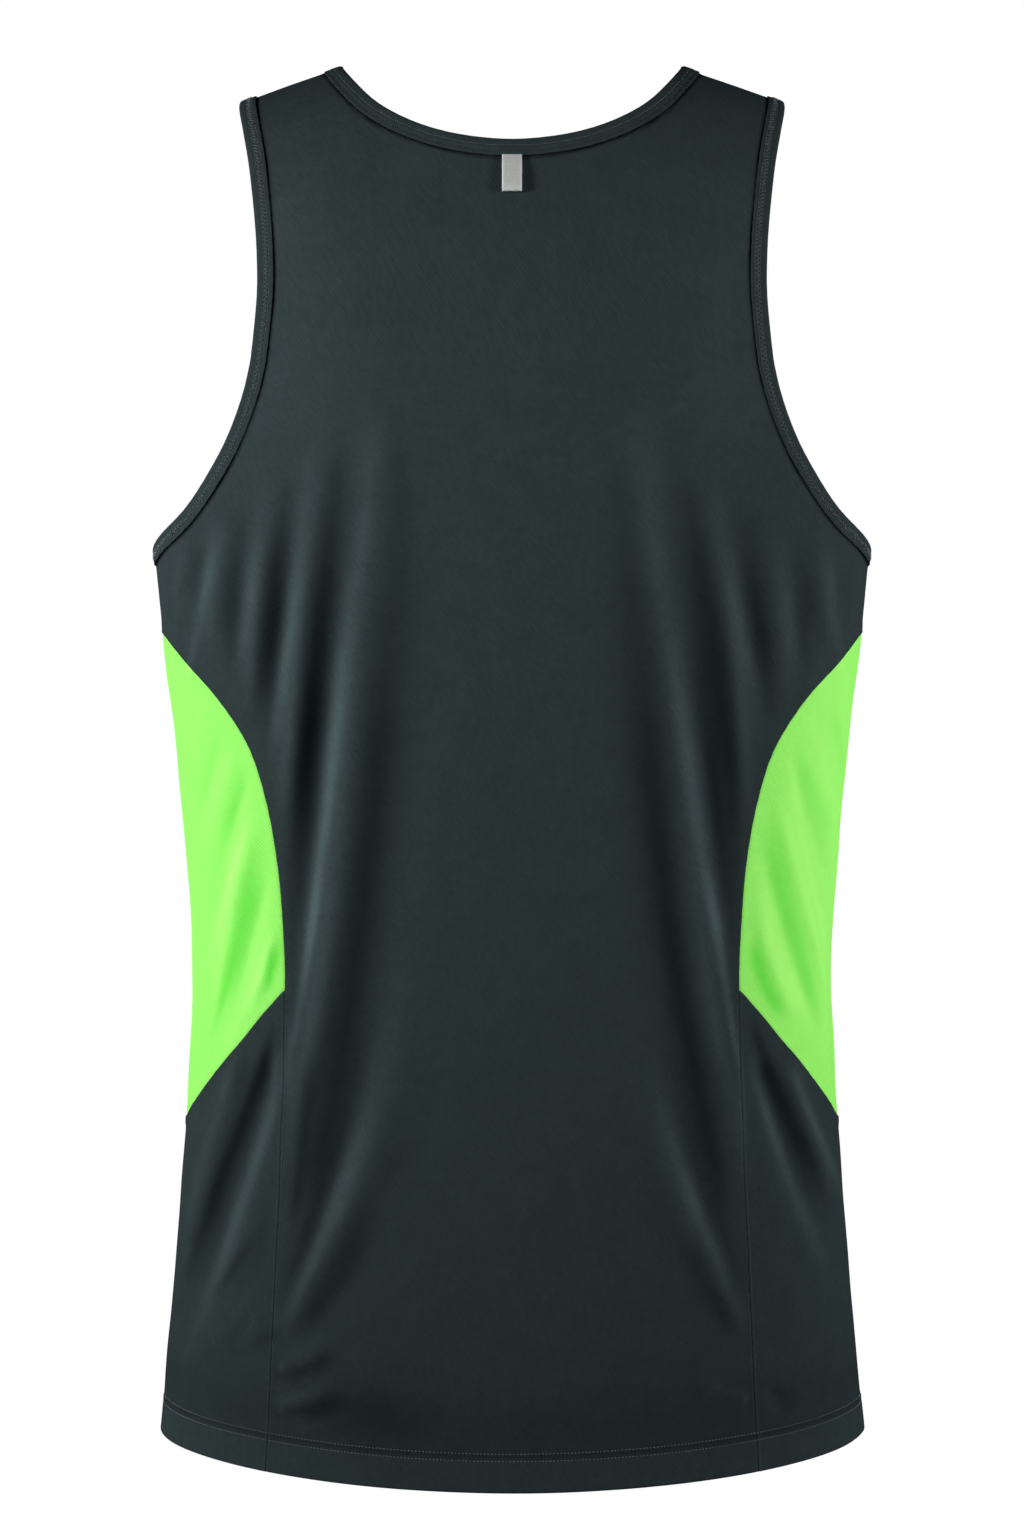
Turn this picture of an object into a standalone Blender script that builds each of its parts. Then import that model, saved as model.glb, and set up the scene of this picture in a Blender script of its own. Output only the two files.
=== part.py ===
"""Athletic singlet, filled out as if worn, with nobody in it.

+Z is up, the front faces -Y and +X is the left side of the garment. The origin is on the
shoulder line, midway between the two straps.

Every piece of cloth is cut as a flat outline, filled with points, joined into triangles and
bent round one form. A place on the form has two numbers. "around" is the angle in degrees:
0 at the left side, 90 at the centre back, 180 at the right side and -90 at the centre front.
"level" is the height in millimetres: 0 on the shoulder ridge and negative below it. High up,
where the form bends over the shoulders, level runs on along the bend. The form is the middle
of the cloth's wall. All sizes below are in millimetres unless their name says otherwise.
"""

from collections import namedtuple

import bmesh
import bpy
import numpy as np
from mathutils import Vector
from mathutils.geometry import delaunay_2d_cdt

MM = 0.001

# Walls and seams
CLOTH_WALL = 1.4
HEM_WALL = 2.2
BINDING_WALL = 2.8
SEAM_GAP = 0.3
HEM_DEPTH = 19.0
NECK_BINDING_WIDTH = 7.3
ARMHOLE_BINDING_WIDTH = 8.4

# Hanger loop: a folded tape that hangs from the neck binding at the centre back
LOOP_WIDTH = 10.0
LOOP_LENGTH = 18.5
LOOP_TAPE = 0.8
LOOP_LAYERS_APART = 1.6
LOOP_CLEARANCE = 0.4
LOOP_BEND_STEPS = 6

# The form: sections of the worn garment, from the hem up to the shoulder ridge
Section = namedtuple("Section", "level half_width back_depth front_depth")
SECTIONS = (
    Section(-712, 183.4, 117, 119),
    Section(-640, 177.0, 113, 116),
    Section(-570, 171.3, 108, 113),
    Section(-510, 167.2, 105, 111),
    Section(-460, 165.5, 104, 111),
    Section(-410, 168.0, 106, 113),
    Section(-350, 173.3, 110, 117),
    Section(-285, 181.0, 114, 121),
    Section(-240, 185.3, 116, 123),
    Section(-150, 189.0, 112, 121),
    Section(0, 189.0, 92, 116),
)
SECTION_SQUARENESS = 0.03
BACK_BEND_LEVEL = -150.0
FRONT_BEND_LEVEL = -240.0
RIDGE_HEIGHT = 45.0
RIDGE_SLOPE = 0.374
RIDGE_ROUNDING = 40.0

# Hem edge: lowest at the centre back
HEM_LEVEL = -697.2
HEM_DROP_BACK = 16.0
HEM_DROP_FRONT = 8.0

# Outlines on the left half; the right half is their mirror
Place = namedtuple("Place", "around level")
ARMHOLE_EDGE = (
    Place(43.5, 0),
    Place(43.8, -28),
    Place(45.1, -52),
    Place(47.1, -80),
    Place(48.8, -112),
    Place(48.6, -136),
    Place(45.5, -170),
    Place(39.5, -199),
    Place(29.5, -223),
    Place(15.0, -235.5),
    Place(0.0, -240),
    Place(-16.0, -235.5),
    Place(-32.0, -222),
    Place(-43.5, -199),
    Place(-50.0, -168),
    Place(-52.0, -130),
    Place(-50.0, -88),
    Place(-46.0, -44),
    Place(-43.5, 0),
)
NECK_EDGE_BACK = (
    Place(62.9, 0),
    Place(63.4, -22),
    Place(65.6, -43),
    Place(69.3, -61.2),
    Place(75.0, -74.9),
    Place(82.0, -83.5),
    Place(90.0, -86.5),
)
NECK_EDGE_FRONT = (
    Place(-62.9, 0),
    Place(-63.6, -40),
    Place(-66.2, -80),
    Place(-70.5, -116),
    Place(-77.0, -144),
    Place(-83.5, -158),
    Place(-90.0, -162),
)
INSERT_CORNER = Place(48.0, -466)
INSERT_TOP_SEAM = (
    INSERT_CORNER,
    Place(47.8, -436),
    Place(47.2, -404),
    Place(45.6, -373),
    Place(42.0, -343),
    Place(35.0, -320),
    Place(26.0, -304),
    Place(13.0, -289),
    Place(0.0, -284),
)
INSERT_LOWER_SEAM = (
    INSERT_CORNER,
    Place(43.0, -478),
    Place(36.0, -494),
    Place(27.0, -510.5),
    Place(17.0, -524.5),
    Place(8.0, -532.5),
    Place(0.0, -535),
)
PRINCESS_SEAM_AT_HEM = 49.2

# Folds: each runs from (girth_start, level_start) to (girth_end, level_end). Girth is the
# distance round a measuring ring from the centre back, positive on the left. Bow bends the
# run sideways, and a negative height is a trough.
RING_HALF_WIDTH = 175.0
RING_HALF_DEPTH = 112.0
Fold = namedtuple("Fold", "girth_start level_start girth_end level_end bow height width")
FOLDS = (
    Fold(113, -195, 136, -315, 2, 1.3, 8),
    Fold(106, -212, 129, -325, 2, -2.1, 7),
    Fold(91, -200, 124, -350, 3, 2.5, 8),
    Fold(79, -182, 118, -405, 5, -3.4, 9),
    Fold(62, -165, 119, -520, 2, 3.1, 8),
    Fold(50, -178, 116, -615, 12, -2.3, 11),
    Fold(48, -440, 118, -634, 4, 2.9, 11),
    Fold(52, -540, 114, -645, 8, -2.1, 10),
    Fold(126, -478, 192, -618, 6, -3.1, 9),
    Fold(127, -505, 165, -625, 5, 2.1, 8),
    Fold(151, -335, 205, -415, 2, 1.7, 8),
    Fold(132, -392, 176, -492, 4, -1.8, 8),
    Fold(-109, -222, -135, -324, -2, -2.1, 7),
    Fold(-87, -188, -131, -342, -3, 1.8, 8),
    Fold(-70, -178, -118, -405, 2, -3.4, 9),
    Fold(-56, -172, -122, -510, -4, 2.9, 8),
    Fold(-47, -188, -117, -615, -7, -2.6, 11),
    Fold(-60, -470, -118, -632, -6, 2.3, 11),
    Fold(-65, -555, -116, -640, -5, -1.8, 10),
    Fold(-130, -478, -163, -560, -2, -2.9, 9),
    Fold(-130, -522, -176, -620, -1, 2.0, 8),
    Fold(-146, -350, -196, -430, -2, 1.6, 8),
    Fold(352, -212, 336, -330, -3, -2.2, 8),
    Fold(370, -196, 344, -400, -4, 2.6, 9),
    Fold(388, -190, 345, -520, -5, -2.9, 10),
    Fold(404, -240, 346, -600, -8, 2.3, 11),
    Fold(410, -470, 345, -640, -5, -2.0, 11),
    Fold(332, -482, 280, -612, -5, -2.6, 9),
    Fold(-350, -216, -334, -340, 3, -2.1, 8),
    Fold(-366, -200, -342, -410, 4, 2.5, 9),
    Fold(-384, -188, -344, -500, 6, -2.7, 10),
    Fold(-402, -230, -346, -590, 8, 2.2, 11),
    Fold(-332, -486, -286, -600, 4, -2.5, 9),
)
FOLD_FADE = 0.24

# How finely the pieces are faceted
ARMHOLE_STEPS = 13
NECK_BACK_STEPS = 8
NECK_FRONT_STEPS = 10
SHOULDER_STEPS = 3
SIDE_SEAM_STEPS = 2
INSERT_TOP_STEPS = 11
INSERT_LOWER_STEPS = 8
PRINCESS_STEPS = 8
HEM_STEPS_CENTRE = 22
HEM_STEPS_SIDE = 12
FIELD_ACROSS = 21.0
FIELD_ALONG = 26.0
FOLD_POINT_SPACING = 19.0
CLEAR_OF_FOLD = 8.0
CLEAR_OF_EDGE = 5.0
CLEAR_OF_RIDGE = 8.0
ALONG_SQUEEZE = 0.45
LINE_SAMPLES = 60
SAME_PLACE = 1e-4

# Small steps that measure the form's slope, in degrees and millimetres, and rounds of the
# search for a place at a distance
SLOPE_STEP = 0.25
SEARCH_STEP = 0.01
SEARCH_ROUNDS = 12

# A binding's cross-section: across is 0 at the seam and 1 at the finished edge, and out is
# the distance from the middle of its wall, as a share of half of it
BindingCorner = namedtuple("BindingCorner", "across out")
BINDING_SECTION = (
    BindingCorner(0.02, 0.75),
    BindingCorner(0.10, 1.0),
    BindingCorner(0.88, 1.0),
    BindingCorner(1.0, 0.5),
    BindingCorner(1.0, -0.5),
    BindingCorner(0.88, -1.0),
    BindingCorner(0.10, -1.0),
    BindingCorner(0.02, -0.75),
)

Finish = namedtuple("Finish", "colour roughness metallic")
DARK_KNIT = Finish((0.026, 0.036, 0.039), 0.55, 0.0)
GREEN_KNIT = Finish((0.27, 0.93, 0.13), 0.6, 0.0)
SILVER_TAPE = Finish((0.42, 0.43, 0.42), 0.4, 0.0)


def curve_through(at, stops, values):
    """A smooth curve through values at the stops, read at the places in at."""
    stops = np.asarray(stops, float)
    values = np.asarray(values, float)
    slopes = np.gradient(values, stops)
    at = np.clip(at, stops[0], stops[-1])
    index = np.clip(np.searchsorted(stops, at) - 1, 0, len(stops) - 2)
    step = stops[index + 1] - stops[index]
    t = (at - stops[index]) / step
    return (
        values[index] * (1 + 2 * t) * (1 - t) ** 2
        + values[index + 1] * t * t * (3 - 2 * t)
        + slopes[index] * step * t * (1 - t) ** 2
        - slopes[index + 1] * step * t * t * (1 - t)
    )


def section_sizes(level):
    levels, *sizes = zip(*SECTIONS)
    return [curve_through(level, levels, size) for size in sizes]


def ridge_height(x):
    """Height of the shoulder ridge, which falls away from the neck."""
    return RIDGE_HEIGHT - RIDGE_SLOPE * np.hypot(x, RIDGE_ROUNDING)


def form(around, level):
    """Places on the form: near-elliptic rings that bend over the shoulders on a quarter arc."""
    turn = np.radians(around)
    half_width, back_depth, front_depth = section_sizes(level)
    swell = 1 + SECTION_SQUARENESS * np.sin(2 * turn) ** 2
    behind = np.sin(turn) >= 0
    bend_level = np.where(behind, BACK_BEND_LEVEL, FRONT_BEND_LEVEL)
    bend = np.clip(1 - level / bend_level, 0, 1) * np.pi / 2
    x = half_width * np.cos(turn) * swell
    y = np.where(behind, back_depth, front_depth) * np.sin(turn) * swell * np.cos(bend)
    z_bent = bend_level + (ridge_height(x) - bend_level) * np.sin(bend)
    return np.stack([x, y, np.where(level > bend_level, z_bent, level)], axis=-1)


def unit(vectors):
    return vectors / np.linalg.norm(vectors, axis=-1, keepdims=True)


def outward(around, level):
    """The form's outward directions, from two short steps along it."""
    here = form(around, level)
    across = form(around + SLOPE_STEP, level) - form(around - SLOPE_STEP, level)
    return unit(np.cross(across, here - form(around, level - SLOPE_STEP)))


RING_ANGLES = np.arange(-180.0, 271.0, 1.0)


def girth_table():
    """Length round the measuring ring from the centre back to each of RING_ANGLES."""
    turn = np.radians(RING_ANGLES)
    ring = np.stack([RING_HALF_WIDTH * np.cos(turn), RING_HALF_DEPTH * np.sin(turn)], axis=-1)
    steps = np.linalg.norm(np.diff(ring, axis=0), axis=1)
    along = np.concatenate([[0.0], np.cumsum(steps)])
    return np.interp(90.0, RING_ANGLES, along) - along


GIRTHS = girth_table()


def girth_of(around):
    return np.interp(around, RING_ANGLES, GIRTHS)


def around_of(girth):
    return np.interp(girth, GIRTHS[::-1], RING_ANGLES[::-1])


def fold_height(around, level):
    """Height of the folds over the smooth form: soft ridges and troughs that fade at both ends."""
    girth = girth_of(np.where(around < -90, around + 360, around))
    height = np.zeros(np.broadcast(around, level).shape)
    for fold in FOLDS:
        run = np.array([fold.girth_end - fold.girth_start, fold.level_end - fold.level_start])
        length = np.hypot(*run)
        over, up = girth - fold.girth_start, level - fold.level_start
        along = (over * run[0] + up * run[1]) / length**2
        aside = (over * run[1] - up * run[0]) / length - 4 * fold.bow * along * (1 - along)
        fade = np.clip(np.minimum(along, 1 - along) / FOLD_FADE, 0, 1)
        height += fold.height * fade * fade * (3 - 2 * fade) * np.exp(-((aside / fold.width) ** 2))
    return height


def cloth(around, level):
    """Places on the folded cloth."""
    return form(around, level) + outward(around, level) * fold_height(around, level)[..., None]


def smooth_line(rows):
    """A closely stepped smooth line through a table's rows."""
    rows = np.array(rows, float)
    fine = np.linspace(0, len(rows) - 1, LINE_SAMPLES * (len(rows) - 1) + 1)
    return np.stack([curve_through(fine, np.arange(len(rows)), rows[:, k]) for k in (0, 1)], -1)


def even_line(line, count):
    """count + 1 places along a line, evenly spaced in real length."""
    steps = np.linalg.norm(np.diff(form(*line.T), axis=0), axis=1)
    along = np.concatenate([[0.0], np.cumsum(steps)])
    wanted = np.linspace(0, along[-1], count + 1)
    return np.stack([np.interp(wanted, along, line[:, k]) for k in (0, 1)], -1)


def moved_on_form(line, inward, distance):
    """The line's places moved a distance along the form, by least squares from their own place."""
    target = form(*line.T) + inward * distance
    place = line.copy()
    for _ in range(SEARCH_ROUNDS):
        here = form(*place.T)
        by_around = (form(place[:, 0] + SEARCH_STEP, place[:, 1]) - here) / SEARCH_STEP
        by_level = (here - form(place[:, 0], place[:, 1] - SEARCH_STEP)) / SEARCH_STEP
        slopes = np.stack([by_around, by_level], axis=-1)
        place += np.stack([np.linalg.pinv(s) @ m for s, m in zip(slopes, target - here)])
        place[:, 1] = np.minimum(place[:, 1], 0)
    return place


def seam_of(loop, width):
    """The seam that lies a binding's width inside the cloth from a closed finished edge."""
    places = form(*loop.T)
    run = np.roll(places, -1, axis=0) - np.roll(places, 1, axis=0)
    return moved_on_form(loop, unit(np.cross(outward(*loop.T), run)), width)


def to_front(line):
    return line * (-1, 1)


def to_right(line):
    return line * (-1, 1) + (180, 0)


def to_right_front(line):
    return line * (-1, 1) - (180, 0)


def armhole_loop():
    """The armhole's finished edge: down the back from the ridge, and up the front."""
    line = smooth_line(ARMHOLE_EDGE)
    side = np.abs(line[:, 0]).argmin()
    back = even_line(line[: side + 1], ARMHOLE_STEPS)
    front = even_line(line[side:], ARMHOLE_STEPS)
    return np.concatenate([back, front[1:-1]])


def neck_loop():
    """The neck's finished edge, from the centre back round by the left and back by the right."""
    back = even_line(smooth_line(NECK_EDGE_BACK), NECK_BACK_STEPS)[::-1]
    front = even_line(smooth_line(NECK_EDGE_FRONT), NECK_FRONT_STEPS)
    return np.concatenate(
        [back, front[1:], to_right_front(front)[-2:0:-1], to_right(back)[:0:-1]]
    )


def hem_level(around):
    lift = np.sin(np.radians(around))
    return HEM_LEVEL - np.where(lift > 0, HEM_DROP_BACK, HEM_DROP_FRONT) * lift**2


def hem_line(start, end, count):
    around = np.linspace(start, end, count + 1)
    return np.stack([around, hem_level(around)], -1)


def princess_line(hem_end):
    """From the hem up to the insert's corner, with its second place at the turned-up hem's top."""
    rise = INSERT_CORNER.level - hem_end[1]
    shares = np.linspace(0, 1, PRINCESS_STEPS + 1)
    shares[1] = HEM_DEPTH / rise
    corner = np.array((np.sign(hem_end[0]) * INSERT_CORNER.around, INSERT_CORNER.level))
    return hem_end + (corner - hem_end) * shares[:, None]


class Lines:
    """Seams and edges of the left half, shared by the pieces that meet there."""

    def __init__(self):
        self.arm_edge = armhole_loop()
        self.arm_seam = seam_of(self.arm_edge, ARMHOLE_BINDING_WIDTH)
        self.neck_edge = neck_loop()
        self.neck_seam = seam_of(self.neck_edge, NECK_BINDING_WIDTH)
        under = ARMHOLE_STEPS
        self.arm_back = self.arm_seam[under::-1]
        self.arm_front = np.concatenate([self.arm_seam[under:], to_front(self.arm_seam[:1])])
        ridge, front = NECK_BACK_STEPS, NECK_BACK_STEPS + NECK_FRONT_STEPS
        self.neck_back = self.neck_seam[ridge::-1]
        self.neck_front = np.concatenate(
            [to_front(self.neck_seam[ridge : ridge + 1]), self.neck_seam[ridge + 1 : front + 1]]
        )
        self.shoulder = np.linspace(self.arm_back[-1], self.neck_back[0], SHOULDER_STEPS + 1)
        self.insert_top = even_line(smooth_line(INSERT_TOP_SEAM), INSERT_TOP_STEPS)
        self.insert_lower = even_line(smooth_line(INSERT_LOWER_SEAM), INSERT_LOWER_STEPS)
        self.side_seam = np.linspace(self.insert_top[-1], self.arm_back[0], SIDE_SEAM_STEPS + 1)
        self.hem_back = hem_line(90.0, PRINCESS_SEAM_AT_HEM, HEM_STEPS_CENTRE)
        self.hem_front = hem_line(-90.0, -PRINCESS_SEAM_AT_HEM, HEM_STEPS_CENTRE)
        self.hem_side = hem_line(-PRINCESS_SEAM_AT_HEM, PRINCESS_SEAM_AT_HEM, HEM_STEPS_SIDE)
        self.princess_back = princess_line(self.hem_back[-1])
        self.princess_front = princess_line(self.hem_front[-1])


def joined(*lines):
    """One outline from lines that follow on from each other, without the repeated corners."""
    return np.concatenate([line[:-1] for line in lines])


def half_outline(lines, turned):
    """The left half of the back's (turned 1) or the front's (turned -1) outline."""
    behind = turned > 0
    neck = lines.neck_back if behind else lines.neck_front
    middle = neck[-1:]
    return joined(
        lines.hem_back if behind else lines.hem_front,
        lines.princess_back if behind else lines.princess_front,
        lines.insert_top * (turned, 1),
        lines.side_seam,
        lines.arm_back if behind else lines.arm_front,
        lines.shoulder * (turned, 1),
        np.concatenate([neck, middle]),
    )


Panel = namedtuple("Panel", "outline inner has_hem finish")


def hem_top(outline):
    """Places along the top of the turned-up hem."""
    rise = outline[:, 1] - hem_level(outline[:, 0])
    return outline[np.abs(rise) < SAME_PLACE] + (0, HEM_DEPTH)


def shoulder_row(outline):
    """Places close below the shoulder ridge, so that the facets there are short."""
    return outline[np.abs(outline[:, 1]) < SAME_PLACE] - (0, CLEAR_OF_RIDGE)


def panels(lines):
    """The cut pieces by name, with outlines and first inner points as places on the form."""
    back = half_outline(lines, 1)
    front = half_outline(lines, -1)
    back = np.concatenate([back, to_right(back)[-2:0:-1]])
    front = np.concatenate([front, to_right_front(front)[-2:0:-1]])
    insert = joined(
        lines.insert_top,
        to_front(lines.insert_top)[::-1],
        to_front(lines.insert_lower),
        lines.insert_lower[::-1],
    )
    lower = joined(
        lines.princess_back,
        lines.insert_lower,
        to_front(lines.insert_lower)[::-1],
        lines.princess_front[::-1],
        lines.hem_side,
    )
    found = {}
    for name, outline in (("back_panel", back), ("front_panel", front)):
        inner = np.concatenate([hem_top(outline), shoulder_row(outline)])
        found[name] = Panel(outline, inner, True, DARK_KNIT)
    for side, turned in (("left", np.array), ("right", to_right)):
        found[f"side_insert_{side}"] = Panel(turned(insert), turned(insert)[:0], False, GREEN_KNIT)
        found[f"side_panel_{side}"] = Panel(turned(lower), hem_top(turned(lower)), True, DARK_KNIT)
    return found


def flat(places):
    """Places laid out flat, with heights squeezed so that facets grow long the way folds run."""
    return np.stack([girth_of(places[:, 0]), places[:, 1] * ALONG_SQUEEZE], -1)


def unflat(points):
    return np.stack([around_of(points[:, 0]), points[:, 1] / ALONG_SQUEEZE], -1)


def inside(points, outline):
    """Which points a closed outline holds, by counting crossings."""
    start, end = outline, np.roll(outline, -1, axis=0)
    x, y = points[:, :1], points[:, 1:]
    spans = (start[:, 1] > y) != (end[:, 1] > y)
    rise = np.where(end[:, 1] == start[:, 1], 1, end[:, 1] - start[:, 1])
    crossing = start[:, 0] + (y - start[:, 1]) / rise * (end[:, 0] - start[:, 0])
    return (spans & (x < crossing)).sum(axis=1) % 2 == 1


def distance_to_outline(points, outline):
    start = outline
    run = np.roll(outline, -1, axis=0) - start
    offset = points[:, None] - start
    along = np.clip((offset * run).sum(-1) / (run * run).sum(-1), 0, 1)
    return np.linalg.norm(offset - along[..., None] * run, axis=-1).min(axis=1)


def kept_apart(kept, candidates, clearance):
    """The kept points and those candidates that lie clear of every point kept before them."""
    kept = list(kept)
    for point in candidates:
        if not kept or np.linalg.norm(np.array(kept) - point, axis=1).min() > clearance:
            kept.append(point)
    return np.array(kept).reshape(-1, 2)


def fold_points(middle):
    """Flat points along each fold's run."""
    points = []
    for fold in FOLDS:
        run = np.array([fold.girth_end - fold.girth_start, fold.level_end - fold.level_start])
        length = np.hypot(*run)
        along = np.linspace(0, 1, int(np.ceil(length / FOLD_POINT_SPACING)) + 1)[:, None]
        sideways = np.array([run[1], -run[0]]) / length
        places = (fold.girth_start, fold.level_start) + along * run
        places = places + 4 * fold.bow * along * (1 - along) * sideways
        around = (around_of(places[:, 0]) - middle + 180) % 360 - 180 + middle
        points.append(flat(np.stack([around, places[:, 1]], -1)))
    return np.concatenate(points)


def field_points(outline):
    """A staggered field of flat points over the outline's box."""
    low, high = outline.min(axis=0), outline.max(axis=0)
    rows = np.arange(low[1], high[1], FIELD_ALONG * ALONG_SQUEEZE)
    columns = np.arange(low[0], high[0], FIELD_ACROSS)
    x, y = np.meshgrid(columns, rows)
    x[1::2] += FIELD_ACROSS / 2
    return np.stack([x.ravel(), y.ravel()], -1)


def filled(panel):
    """Places over the whole panel and the triangles between them."""
    outline = flat(panel.outline)

    def clear(points):
        return points[inside(points, outline) & (distance_to_outline(points, outline) > CLEAR_OF_EDGE)]

    inner = clear(flat(panel.inner))
    inner = kept_apart(inner, clear(fold_points(panel.outline[:, 0].mean())), CLEAR_OF_EDGE)
    inner = kept_apart(inner, clear(field_points(outline)), CLEAR_OF_FOLD)
    points = [Vector(point) for point in np.concatenate([outline, inner])]
    ring = list(range(len(outline)))
    _, _, faces, sources, _, _ = delaunay_2d_cdt(points, [], [ring], 1, SAME_PLACE)
    places = np.concatenate([panel.outline, unflat(inner)])
    return places[[source[0] for source in sources]], faces


def mesh_object(name, mesh, finish, collection):
    material = bpy.data.materials.new(name)
    material.use_nodes = True
    shader = material.node_tree.nodes["Principled BSDF"]
    shader.inputs["Base Color"].default_value = (*finish.colour, 1)
    shader.inputs["Roughness"].default_value = finish.roughness
    shader.inputs["Metallic"].default_value = finish.metallic
    mesh.materials.append(material)
    mesh.shade_smooth()
    piece = bpy.data.objects.new(name, mesh)
    collection.objects.link(piece)
    return piece


def face_out(bm):
    """Turns an open sheet's faces so that they point away from the middle of the garment."""
    bmesh.ops.recalc_face_normals(bm, faces=bm.faces)
    bm.normal_update()
    outwards = sum(face.normal.xy.dot(face.calc_center_median().xy) * face.calc_area() for face in bm.faces)
    if outwards < 0:
        bmesh.ops.reverse_faces(bm, faces=bm.faces)
        bm.normal_update()


def draw_in_edges(bm, distance):
    """Moves the sheet's boundary inwards, along its own faces, by an even distance."""
    moves = {}
    for edge in (edge for edge in bm.edges if edge.is_boundary):
        face = edge.link_faces[0]
        run = (edge.verts[1].co - edge.verts[0].co).normalized()
        inward = face.normal.cross(run).normalized()
        if inward.dot(face.calc_center_median() - edge.verts[0].co) < 0:
            inward.negate()
        for vert in edge.verts:
            moves.setdefault(vert, []).append(inward)
    for vert, (one, other) in moves.items():
        vert.co += (one + other) * distance / (1 + one.dot(other))


def panel_piece(name, panel, collection):
    """A cut piece: the filled outline bent round the form, given its wall."""
    places, faces = filled(panel)
    bm = bmesh.new()
    verts = [bm.verts.new(point) for point in cloth(*places.T) * MM]
    for face in faces:
        bm.faces.new([verts[k] for k in face])
    face_out(bm)
    draw_in_edges(bm, SEAM_GAP / 2 * MM)
    mesh = bpy.data.meshes.new(name)
    bm.to_mesh(mesh)
    bm.free()
    piece = mesh_object(name, mesh, panel.finish, collection)
    hem = piece.vertex_groups.new(name="hem")
    if panel.has_hem:
        rise = places[:, 1] - hem_level(places[:, 0])
        in_hem = np.nonzero(rise < HEM_DEPTH + SEAM_GAP)[0]
        hem.add([int(k) for k in in_hem], 1.0, "REPLACE")
    wall = piece.modifiers.new("wall", "SOLIDIFY")
    wall.thickness = HEM_WALL * MM
    wall.vertex_group = hem.name
    wall.thickness_vertex_group = CLOTH_WALL / HEM_WALL
    wall.offset = 0
    wall.use_even_offset = True
    return piece


def binding_piece(name, seam, edge, collection):
    """A bound strip: the binding's cross-section carried round a closed seam."""
    from_seam = cloth(*seam.T)
    across = cloth(*edge.T) - from_seam
    out = unit(outward(*seam.T) + outward(*edge.T)) * BINDING_WALL / 2
    corners = np.stack(
        [from_seam + across * corner.across + out * corner.out for corner in BINDING_SECTION], axis=1
    )
    stations, sides = corners.shape[:2]
    station, side = np.divmod(np.arange(stations * sides), sides)
    next_station = (station + 1) % stations * sides
    next_side = (side + 1) % sides
    faces = np.stack(
        [station * sides + side, station * sides + next_side, next_station + next_side, next_station + side],
        axis=-1,
    )
    mesh = bpy.data.meshes.new(name)
    mesh.from_pydata(corners.reshape(-1, 3) * MM, [], faces.tolist())
    bm = bmesh.new()
    bm.from_mesh(mesh)
    bmesh.ops.recalc_face_normals(bm, faces=bm.faces)
    bm.to_mesh(mesh)
    bm.free()
    return mesh_object(name, mesh, DARK_KNIT, collection)


def loop_profile():
    """The folded tape's run as (down, out): under the front layer, round the bend and back up."""
    inner = CLOTH_WALL / 2 + LOOP_CLEARANCE + LOOP_TAPE / 2
    bend = LOOP_LAYERS_APART / 2
    angles = np.linspace(-np.pi / 2, np.pi / 2, LOOP_BEND_STEPS + 1)
    turn = np.stack(
        [LOOP_LENGTH - bend + bend * np.cos(angles), inner + bend + bend * np.sin(angles)], -1
    )
    top = (SEAM_GAP, inner), (SEAM_GAP, inner + LOOP_LAYERS_APART)
    return np.concatenate([top[:1], turn, top[1:]])


def hanger_loop_piece(lines, collection):
    """A flat tape folded once, hanging under the neck binding."""
    seam_level = lines.neck_back[-1, 1]
    levels = np.linspace(seam_level, seam_level - 2 * LOOP_LENGTH, LINE_SAMPLES)
    run = cloth(np.full(LINE_SAMPLES, 90.0), levels)
    along = np.concatenate([[0.0], np.cumsum(np.linalg.norm(np.diff(run, axis=0), axis=1))])
    down, out = loop_profile().T
    level = np.interp(down, along, levels)
    around = np.full(level.shape, 90.0)
    middle = cloth(around, level) + outward(around, level) * out[:, None]
    bm = bmesh.new()
    edges = [
        [bm.verts.new((place + (side * LOOP_WIDTH / 2, 0, 0)) * MM) for place in middle] for side in (1, -1)
    ]
    for left, right, next_right, next_left in zip(edges[0], edges[1], edges[1][1:], edges[0][1:]):
        bm.faces.new((left, right, next_right, next_left))
    mesh = bpy.data.meshes.new("hanger_loop")
    bm.to_mesh(mesh)
    bm.free()
    piece = mesh_object("hanger_loop", mesh, SILVER_TAPE, collection)
    tape = piece.modifiers.new("tape", "SOLIDIFY")
    tape.thickness = LOOP_TAPE * MM
    tape.offset = 0
    return piece


def main():
    for item in list(bpy.data.objects):
        bpy.data.objects.remove(item, do_unlink=True)
    collection = bpy.data.collections.new("athletic_singlet")
    bpy.context.scene.collection.children.link(collection)
    lines = Lines()
    for name, panel in panels(lines).items():
        panel_piece(name, panel, collection)
    binding_piece("armhole_binding_left", lines.arm_seam, lines.arm_edge, collection)
    right_seam, right_edge = to_right(lines.arm_seam), to_right(lines.arm_edge)
    binding_piece("armhole_binding_right", right_seam, right_edge, collection)
    binding_piece("neck_binding", lines.neck_seam, lines.neck_edge, collection)
    hanger_loop_piece(lines, collection)


main()
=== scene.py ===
"""The look of an athletic singlet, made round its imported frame.

Run as a script, it makes every piece of cloth, its stitches and the stage. +Z is up, the front
faces -Y and +X is the left side of the garment.

A place on the garment has two numbers. "around" is an angle in degrees: 0 at the left side, 90
at the centre back, 180 at the right side and -90 at the centre front. "level" is the height in
millimetres: 0 on the shoulder ridge and negative below it. A flat place has "girth" instead of
around: the distance from the centre back round a measuring ring. Sizes are in millimetres
unless their name says otherwise, and become metres when a mesh is made.
"""

from collections import namedtuple

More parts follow.
